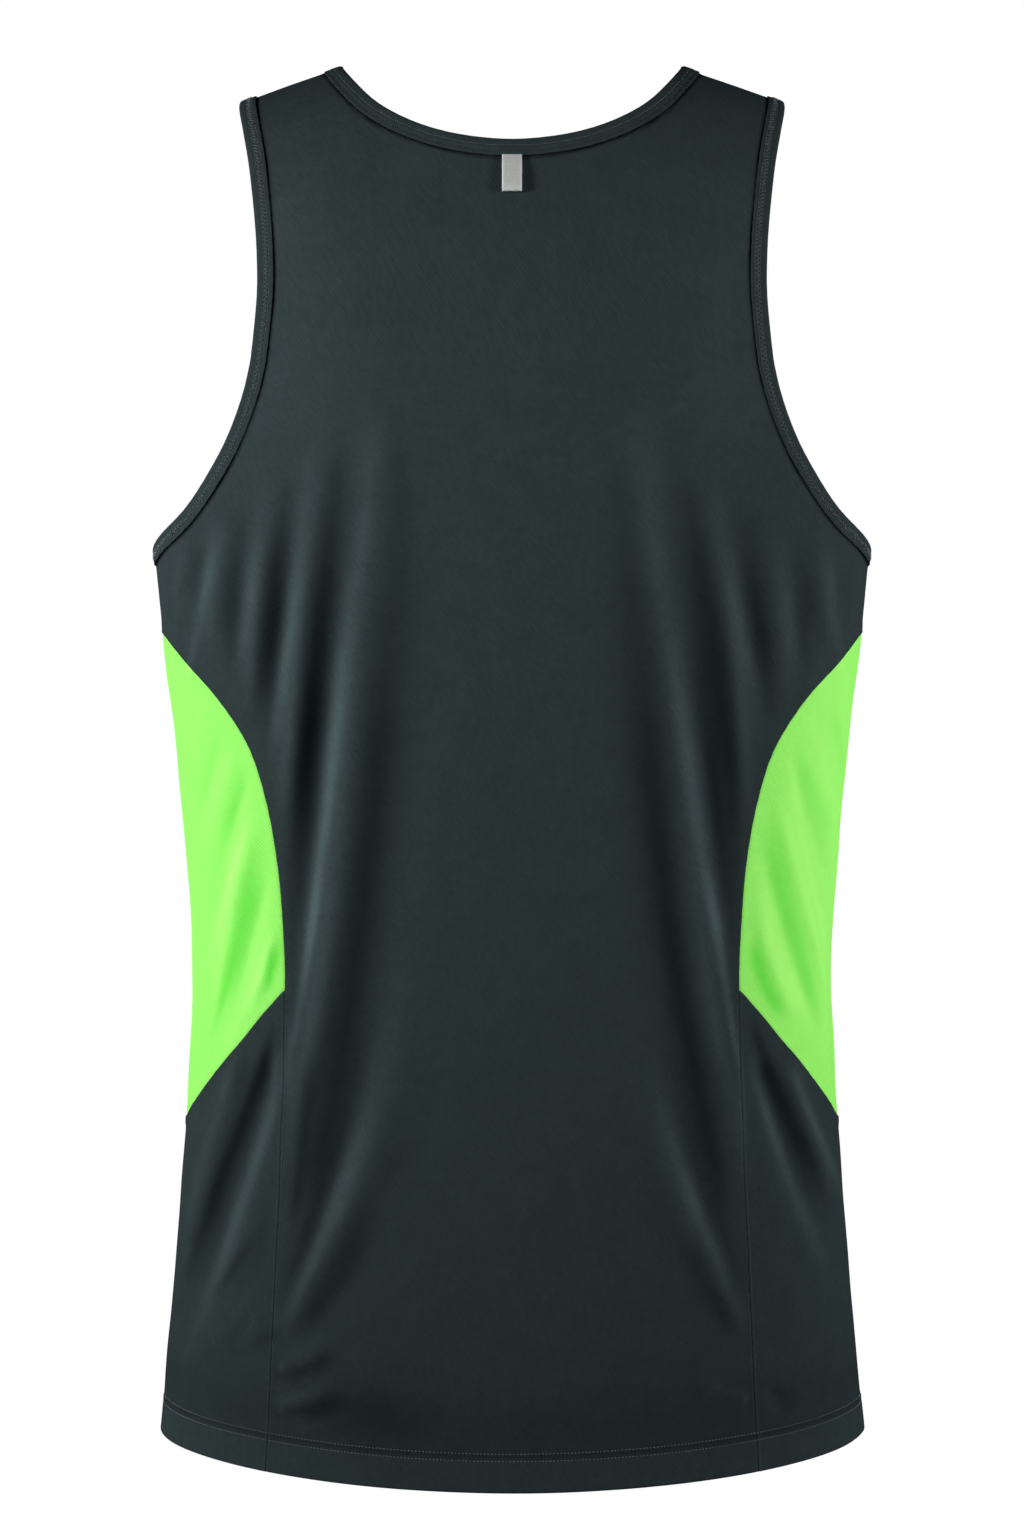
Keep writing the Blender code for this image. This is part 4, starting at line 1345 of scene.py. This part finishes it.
def flat_coordinates(finish):
    """A piece's own flat cloth places in metres: the vector and its two numbers."""
    vector = finish.node("ShaderNodeUVMap", {"uv_map": "cloth"}).outputs[0]
    apart = finish.node("ShaderNodeSeparateXYZ", None, {0: vector})
    return vector, Number(finish, apart.outputs[0]), Number(finish, apart.outputs[1])


HEATHER_TURN = 0.7
HEATHER_STRETCH = (1.0, 0.3, 1.0)
# Limits of the factor by which the painted light and shade change the knit's colour
TONE_LIMITS = (0.2, 2.6)


def knit_finish(name, colour, sizes, roughness, grain, tone_strengths, painted_glow=0.0):
    """Fine weft knit: wales and courses as crossed waves, an uneven heather, and painted light and
    shade.

    The knit's height is a wave across the wales times one along them, which gives its small
    diamonds. The heather is noise drawn out along a diagonal. The tone that each point of the mesh
    carries is painted light and shade, multiplied into the knit's colour: painted highlights on the
    folds' crests and lit flanks, painted shade in their troughs and shaded flanks, painted shadows
    beside the bindings and painted light and shade on the hem.
    """
    finish = Finish(name)
    vector, across, up = flat_coordinates(finish)
    wale = (across * (np.pi / sizes.wale_width)).sine()
    knit = wale * (up * (np.pi / sizes.course_height)).sine()
    turned = {"Vector": vector, "Angle": HEATHER_TURN}
    diagonal = finish.node("ShaderNodeVectorRotate", {"rotation_type": "Z_AXIS"}, turned)
    drawn_out = {"Vector": diagonal.outputs[0], "Scale": HEATHER_STRETCH}
    stretched = finish.node("ShaderNodeMapping", None, drawn_out)
    heather = finish.noise(stretched.outputs[0], 700.0, 3.0, 0.6) - 0.5
    cloud = finish.noise(vector, 70.0, 3.0, 0.6) - 0.5
    # Painted light and shade, carried by each point of the mesh
    folds = finish.node("ShaderNodeAttribute", {"attribute_name": "painted_light_and_shade"})
    tone = Number(finish, folds.outputs["Fac"])
    shade = 1 + heather * (0.5 * grain) + knit * 0.06 + cloud * (0.28 * grain)
    # The painted light and shade make the knit's colour lighter or darker, with one strength a
    # channel
    grain_and_painted_shade = [shade * (1 + tone * one).limited(*TONE_LIMITS) for one in tone_strengths]
    tinted = finish.tinted(colour, *grain_and_painted_shade)
    sockets = {
        "Base Color": tinted,
        "Roughness": roughness + heather * 0.12 - knit * 0.02,
        "Normal": finish.bumped(knit * 0.25 + heather * (0.9 * grain), sizes.knit_relief),
        "Specular IOR Level": 0.0,
    }
    # A glow in the cloth's own colour: painted light that brightens the knit and evens out its
    # shading
    if painted_glow:
        sockets.update({"Emission Color": tinted, "Emission Strength": painted_glow})
    return finish.made(sockets)


TAPE_RIB, TAPE_YARN = 0.8 * MM, 0.5 * MM
TAPE_SELVEDGE = (3.6 * MM, 4.4 * MM)


def tape_finish(colour):
    """Grosgrain tape: close ribs across it, and lighter, denser selvedges."""
    finish = Finish("silver_tape")
    vector, along, across = flat_coordinates(finish)
    rib = (along * (2 * np.pi / TAPE_RIB)).sine()
    yarn = (across * (2 * np.pi / TAPE_YARN) + rib * 0.8).sine()
    grain = finish.noise(vector, 900.0, 2.0, 0.6)
    edge = finish.eased(across.maths("ABSOLUTE", across), *TAPE_SELVEDGE)
    shade = 0.93 + rib * 0.03 + yarn * 0.02 + (grain - 0.5) * 0.22 + edge * 0.16
    return finish.made({
        "Base Color": finish.tinted(colour, shade),
        "Roughness": 0.5 + (grain - 0.5) * 0.15,
        "Normal": finish.bumped(rib * 0.5 + yarn * 0.3 + grain * 0.3, 0.1 * MM),
        "Specular IOR Level": 0.4,
        "Sheen Weight": 0.1,
    })


def thread_finish(name, colour):
    """Spun sewing thread: a fine uneven twist in colour and height."""
    finish = Finish(name)
    place = finish.object_place()
    twist = finish.noise(place, 2600.0, 2.0, 0.5)
    uneven = finish.noise(place, 160.0, 1.0, 0.5)
    return finish.made({
        "Base Color": finish.tinted(colour, 0.8 + twist * 0.25 + (uneven - 0.5) * 0.5),
        "Roughness": 0.5 + (twist - 0.5) * 0.2,
        "Normal": finish.bumped(twist, 0.04 * MM),
        "Sheen Weight": 0.1,
    })


WHITE = (1, 1, 1, 1)
FLOOR_COLOUR = (0.9, 0.9, 0.9)
FLOOR_GLOW = 0.72
FLOOR_RIM = (1.9, 3.0)


def floor_finish():
    """Matte pale floor with a faint unevenness, that thins out towards its rim."""
    finish = Finish("studio_floor")
    place = finish.object_place()
    cloud = finish.noise(place, 1.5, 2.0, 0.5) - 0.5
    far = finish.node("ShaderNodeVectorMath", {"operation": "LENGTH"}, {0: place})
    return finish.made({
        "Base Color": finish.tinted(FLOOR_COLOUR, 0.98 + cloud * 0.04),
        "Roughness": 0.75 + cloud * 0.1,
        "Emission Color": WHITE,
        "Emission Strength": FLOOR_GLOW,
        "Alpha": finish.eased(Number(finish, far.outputs["Value"]), *FLOOR_RIM, 1.0, 0.0),
    })


# ---------------------------------------------------------------- what a user may change


def length_property(name, description, millimetres):
    return bpy.props.FloatProperty(
        name=name, description=description, default=millimetres * MM, unit="LENGTH", precision=5
    )


def colour_property(name, description, default):
    return bpy.props.FloatVectorProperty(
        name=name, description=description, default=default, subtype="COLOR", size=3, min=0, max=1
    )


class SingletSizes(bpy.types.PropertyGroup):
    """Sizes of the cloth and its sewing"""

    cloth_thickness: length_property("Cloth thickness", "Wall of one layer of knit", 0.8)
    loop_thickness: length_property("Tape thickness", "Wall of the hanger loop's tape", 0.5)
    wale_width: length_property("Wale width", "Width of one column of knitted loops", 1.1)
    course_height: length_property("Course height", "Height of one row of knitted loops", 0.9)
    knit_relief: length_property("Knit relief", "Height of the knitted loops", 0.12)
    binding_stitch: length_property("Binding stitch", "From one binding stitch to the next", 1.15)
    hem_stitch: length_property("Hem stitch", "From one hem stitch to the next", 1.8)
    seam_stitch: length_property("Seam stitch", "From one seam stitch to the next", 1.6)
    fold_strength: bpy.props.FloatProperty(
        name="Fold strength",
        description="How high the folds stand, as a share of their own heights",
        default=1.0,
        subtype="FACTOR",
    )


class SingletColours(bpy.types.PropertyGroup):
    """Colours of the cloth, the tape and the thread"""

    dark_knit: colour_property("Dark knit", "Body, sides and bindings", (0.0272, 0.0392, 0.0408))
    green_knit: colour_property("Green knit", "Waist inserts", (0.195, 0.57, 0.093))
    silver_tape: colour_property("Silver tape", "Hanger loop", (0.53, 0.54, 0.53))
    thread: colour_property("Thread", "Stitches of the bindings", (0.085, 0.11, 0.11))
    hem_thread: colour_property("Hem thread", "Stitches of the hem", (0.16, 0.19, 0.19))
    # Near-black, so that the seam stitches are thread and also the painted shade of their stitch
    # holes
    seam_thread_and_shade: colour_property("Seam thread", "Stitches beside seams", (0.006, 0.009, 0.009))


class Shop:
    """What every operator shares: lines, sizes and finishes, made once for a scene."""

    made = None

    def __init__(self, scene):
        self.sizes = sizes = scene.singlet_sizes
        colours = scene.singlet_colours
        self.lines = Lines()
        self.dark = knit_finish("dark_knit", colours.dark_knit, sizes, 0.6, 1.0, (1, 1, 1))
        # The green knit glows with painted light of its own colour
        self.green = knit_finish(
            "green_knit", colours.green_knit, sizes, 0.55, 0.3, (1, 0.3, 1), painted_glow=0.58
        )
        self.tape = tape_finish(colours.silver_tape)
        self.thread = thread_finish("dark_thread", colours.thread)
        self.hem_thread = thread_finish("hem_thread", colours.hem_thread)
        self.seam_thread_and_shade = thread_finish("seam_thread_and_shade", colours.seam_thread_and_shade)

    @classmethod
    def of(cls, context):
        if cls.made is None:
            cls.made = cls(context.scene)
        return cls.made


# ---------------------------------------------------------------- operators

BOTH_PANELS = ["back_panel_cloth", "front_panel_cloth"]
# Each panel's turn (1 behind, -1 in front), its node, the other's node, its columns, and the
# flat size and area of its cloth in metres
PANELS = (
    (1, "back_panel", "front_panel", BACK_COLUMNS, (0.504, 0.755), 0.200),
    (-1, "front_panel", "back_panel", FRONT_COLUMNS, (0.541, 0.755), 0.187),
)


class SINGLET_OT_body(bpy.types.Operator):
    """Cut, fold and stitch the back and the front"""

    bl_idname = "singlet.body"
    bl_label = "Back and front"

    def execute(self, context):
        shop = Shop.of(context)
        lines, sizes = shop.lines, shop.sizes
        for turned, node, other, columns, flat, area in PANELS:
            cloth = Cloth(body_seams(lines, turned), True, sizes)
            grid = body_grid(lines, turned, columns)
            piece = cut_piece(f"{node}_cloth", grid, cloth, shop.dark, sizes)
            aside = -SEAM_STITCH_ASIDE * turned
            seam_lines = []
            for line in (lines.princess[turned], lines.insert_top * (turned, 1)):
                seam_lines += [(line, aside), (OTHER_SIDE[turned](line), -aside)]
            half = 90.0 - PRINCESS_SEAM_AT_HEM
            sewing = sewn(shop, node, cloth, seam_lines, turned * 90.0, half)
            on_frame(
                piece,
                "dark_knit",
                node,
                sewing,
                flat=flat,
                area=area,
                held="hung",
                rests_on=[f"{other}_cloth", "neck_binding_strip"],
            )
        return {"FINISHED"}


class SINGLET_OT_inserts(bpy.types.Operator):
    """Cut and fold the two green waist inserts"""

    bl_idname = "singlet.inserts"
    bl_label = "Waist inserts"

    def execute(self, context):
        shop = Shop.of(context)
        grid = insert_grid(shop.lines)
        edges = (shop.lines.insert_top, shop.lines.insert_lower)
        edges = [line for edge in edges for line in (edge, to_front(edge))]
        for side, sign, turned in SIDES:
            node = f"side_insert_{side}"
            seams = [seam(turned(line), 0.5, 0.0, 0.1) for line in edges]
            cloth = Cloth(seams, False, shop.sizes)
            piece = cut_piece(f"{node}_cloth", grid * (sign, 1), cloth, shop.green, shop.sizes)
            on_frame(
                piece,
                "green_knit",
                node,
                flat=(0.250, 0.248),
                area=0.040,
                held="stretched",
                rests_on=BOTH_PANELS,
            )
        return {"FINISHED"}


class SINGLET_OT_side_panels(bpy.types.Operator):
    """Cut, fold and stitch the two lower side panels"""

    bl_idname = "singlet.side_panels"
    bl_label = "Side panels"

    def execute(self, context):
        shop = Shop.of(context)
        grid = side_panel_grid(shop.lines)
        lower = (shop.lines.insert_lower, to_front(shop.lines.insert_lower))
        for side, sign, turned in SIDES:
            node = f"side_panel_{side}"
            princess = shop.lines.princess.values()
            # The princess seams paint a highlight (glint) along the side panel's edge
            seams = [seam(turned(line), 0.4, 0.25, 0.1, 0.0, 0.6) for line in princess]
            seams += [seam(turned(line), 0.4, 0.22, 0.1) for line in lower]
            cloth = Cloth(seams, True, shop.sizes)
            piece = cut_piece(f"{node}_cloth", grid * (sign, 1), cloth, shop.dark, shop.sizes)
            aside = SEAM_STITCH_ASIDE * sign
            seam_lines = [(turned(line), one) for line, one in zip(lower, (aside, -aside))]
            middle = 90.0 - 90.0 * sign
            sewing = sewn(shop, node, cloth, seam_lines, middle, PRINCESS_SEAM_AT_HEM)
            on_frame(
                piece,
                "dark_knit",
                node,
                sewing,
                flat=(0.254, 0.259),
                area=0.046,
                held="hung",
                rests_on=[*BOTH_PANELS, f"side_insert_{side}_cloth"],
            )
        return {"FINISHED"}


class SINGLET_OT_bindings(bpy.types.Operator):
    """Fold and stitch the neck and armhole bindings"""

    bl_idname = "singlet.bindings"
    bl_label = "Bindings"

    def execute(self, context):
        shop = Shop.of(context)
        lines = shop.lines
        low, high = BINDING_STITCH_ROWS
        reach = (high - low) * ARMHOLE_BINDING_WIDTH
        for node, edge, seam_line in (
            ("neck_binding", lines.neck_edge, lines.neck_lip),
            ("armhole_binding_left", lines.arm_edge, lines.arm_seam),
            ("armhole_binding_right", to_right(lines.arm_edge), to_right(lines.arm_seam)),
        ):
            neck = node == "neck_binding"
            edge_line, seam_even = closed_spaced(edge, seam_line)
            strip = (seam_even, edge_line, shop.sizes, neck)
            piece = binding_piece(f"{node}_strip", shop.dark, *strip)
            rows = [stitches_on_binding(*strip, one, *BINDING_STITCH) for one in (low, high)]
            if not neck:
                zigzag = (reach, ZIGZAG_RADIUS, reach)
                rows.append(stitches_on_binding(*strip, (low + high) / 2, *zigzag))
            sewing = [stitches_piece(f"{node}_stitches", rows[neck:], shop.thread)]
            if neck:
                # The neck's lower row is near-black: thread and the painted shade of its stitch
                # holes
                sewing.append(stitches_piece(f"{node}_lower_stitches", rows[:1], shop.seam_thread_and_shade))
            flat = (0.021, 0.72) if neck else (0.020, 0.69)
            on_frame(
                piece, "dark_knit", node, sewing, flat=flat, held="folded", rests_on=BOTH_PANELS
            )
        return {"FINISHED"}


class SINGLET_OT_hanger_loop(bpy.types.Operator):
    """Fold the hanger loop at the centre back"""

    bl_idname = "singlet.hanger_loop"
    bl_label = "Hanger loop"

    def execute(self, context):
        shop = Shop.of(context)
        piece = loop_piece(shop.lines, shop.tape, shop.sizes)
        cut = {"flat": (0.010, 0.050), "held": "folded", "rests_on": ["neck_binding_strip"]}
        on_frame(piece, "silver_tape", "hanger_loop", **cut)
        return {"FINISHED"}


# ---------------------------------------------------------------- stage

CAMERA_PLACE = (0.0, 2.4, -0.3546)
SENSOR_MM = 36.0
PHOTO_HEIGHT = 1536
METRES_PER_PIXEL = 0.52e-3
FLOOR_HEIGHT = -1.45
FLOOR_RADIUS = 3.0
FLOOR_SIDES, FLOOR_RINGS = 64, 6
AMBIENT = 0.05
Lamp = namedtuple("Lamp", "name place aim size watts")
LAMP_SPREAD = 44.0
LAMPS = (
    Lamp("key_left", (2.08, 1.15, 0.0), (0, 0, -0.13), 0.6, 4.1),
    Lamp("key_right", (-2.08, 1.15, 0.0), (0, 0, -0.13), 0.6, 2.6),
    Lamp("front_left", (1.5, -1.7, 0.0), (0, 0, -0.2), 0.7, 1.0),
    Lamp("front_right", (-1.5, -1.7, 0.0), (0, 0, -0.2), 0.7, 0.9),
    Lamp("low_left", (2.1, 0.5, -1.0), (0.1, 0, -0.66), 0.4, 0.9),
    Lamp("low_right", (-2.1, 0.5, -1.0), (-0.1, 0, -0.66), 0.4, 0.75),
)


def floor_mesh():
    """A flat disc: rings of points round its middle, with a fan of triangles inside the first."""
    angles = np.linspace(0, 2 * np.pi, FLOOR_SIDES + 1)[:-1]
    radii = np.linspace(0, FLOOR_RADIUS, FLOOR_RINGS + 1)[1:]
    rings = radii[:, None, None] * np.stack([np.cos(angles), np.sin(angles)], -1)
    places = np.concatenate([[(0, 0)], rings.reshape(-1, 2)])
    points = np.column_stack([places, np.full(len(places), FLOOR_HEIGHT)])
    ring, side = np.divmod(np.arange((FLOOR_RINGS - 1) * FLOOR_SIDES), FLOOR_SIDES)
    here, after = 1 + ring * FLOOR_SIDES + side, 1 + ring * FLOOR_SIDES + (side + 1) % FLOOR_SIDES
    quads = np.stack([here, here + FLOOR_SIDES, after + FLOOR_SIDES, after], -1)
    fan = np.stack([here * 0, here, after], -1)[:FLOOR_SIDES]
    mesh = bpy.data.meshes.new("studio_floor")
    mesh.from_pydata(points, [], quads.tolist() + fan.tolist())
    mesh.materials.append(floor_finish())
    return mesh


class SINGLET_OT_stage(bpy.types.Operator):
    """Set up the floor, the lights, the background and the camera"""

    bl_idname = "singlet.stage"
    bl_label = "Stage"

    def execute(self, context):
        scene = context.scene
        floor = bpy.data.objects.new("studio_floor", floor_mesh())
        scene.collection.objects.link(floor)
        floor.visible_diffuse = floor.visible_glossy = False
        for lamp in LAMPS:
            self.light(scene, lamp)
        self.background(scene)
        lens = bpy.data.cameras.new("camera")
        lens.sensor_width = SENSOR_MM
        lens.lens = SENSOR_MM * CAMERA_PLACE[1] / (METRES_PER_PIXEL * PHOTO_HEIGHT)
        camera = bpy.data.objects.new("camera", lens)
        camera.location = CAMERA_PLACE
        camera.rotation_euler = (np.pi / 2, 0, np.pi)
        scene.collection.objects.link(camera)
        scene.camera = camera
        scene.view_settings.view_transform = "Standard"
        return {"FINISHED"}

    @staticmethod
    def light(scene, lamp):
        data = bpy.data.lights.new(lamp.name, "AREA")
        data.shape = "RECTANGLE"
        data.size = data.size_y = lamp.size
        data.energy = lamp.watts
        data.spread = np.radians(LAMP_SPREAD)
        light = bpy.data.objects.new(lamp.name, data)
        light.location = lamp.place
        aim = Vector(lamp.aim) - Vector(lamp.place)
        light.rotation_euler = aim.to_track_quat("-Z", "Y").to_euler()
        light.visible_camera = False
        scene.collection.objects.link(light)

    @staticmethod
    def background(scene):
        """White where it is seen, and a dimmer white as light on the cloth."""
        world = bpy.data.worlds.new("studio")
        world.use_nodes = True
        scene.world = world
        tree = world.node_tree
        seen = tree.nodes["Background"]
        ambient = tree.nodes.new("ShaderNodeBackground")
        for node, strength in ((seen, 1.0), (ambient, AMBIENT)):
            node.inputs["Color"].default_value = WHITE
            node.inputs["Strength"].default_value = strength
        path = tree.nodes.new("ShaderNodeLightPath")
        mix = tree.nodes.new("ShaderNodeMixShader")
        tree.links.new(path.outputs["Is Camera Ray"], mix.inputs[0])
        tree.links.new(ambient.outputs[0], mix.inputs[1])
        tree.links.new(seen.outputs[0], mix.inputs[2])
        tree.links.new(mix.outputs[0], tree.nodes["World Output"].inputs["Surface"])


STEPS = (
    SINGLET_OT_body,
    SINGLET_OT_inserts,
    SINGLET_OT_side_panels,
    SINGLET_OT_bindings,
    SINGLET_OT_hanger_loop,
    SINGLET_OT_stage,
)


class SINGLET_PT_maker(bpy.types.Panel):
    """Lists the steps that make the singlet"""

    bl_label = "Athletic Singlet"
    bl_idname = "SINGLET_PT_maker"
    bl_space_type = "VIEW_3D"
    bl_region_type = "UI"
    bl_category = "Singlet"

    def draw(self, context):
        for step in STEPS:
            self.layout.operator(step.bl_idname)


CLASSES = (SingletSizes, SingletColours, *STEPS, SINGLET_PT_maker)


def register():
    for one in CLASSES:
        bpy.utils.register_class(one)
    bpy.types.Scene.singlet_sizes = bpy.props.PointerProperty(type=SingletSizes)
    bpy.types.Scene.singlet_colours = bpy.props.PointerProperty(type=SingletColours)


def unregister():
    del bpy.types.Scene.singlet_colours
    del bpy.types.Scene.singlet_sizes
    for one in reversed(CLASSES):
        bpy.utils.unregister_class(one)


def main():
    register()
    for step in STEPS:
        group, name = step.bl_idname.split(".")
        getattr(getattr(bpy.ops, group), name)()


if __name__ == "__main__":
    main()
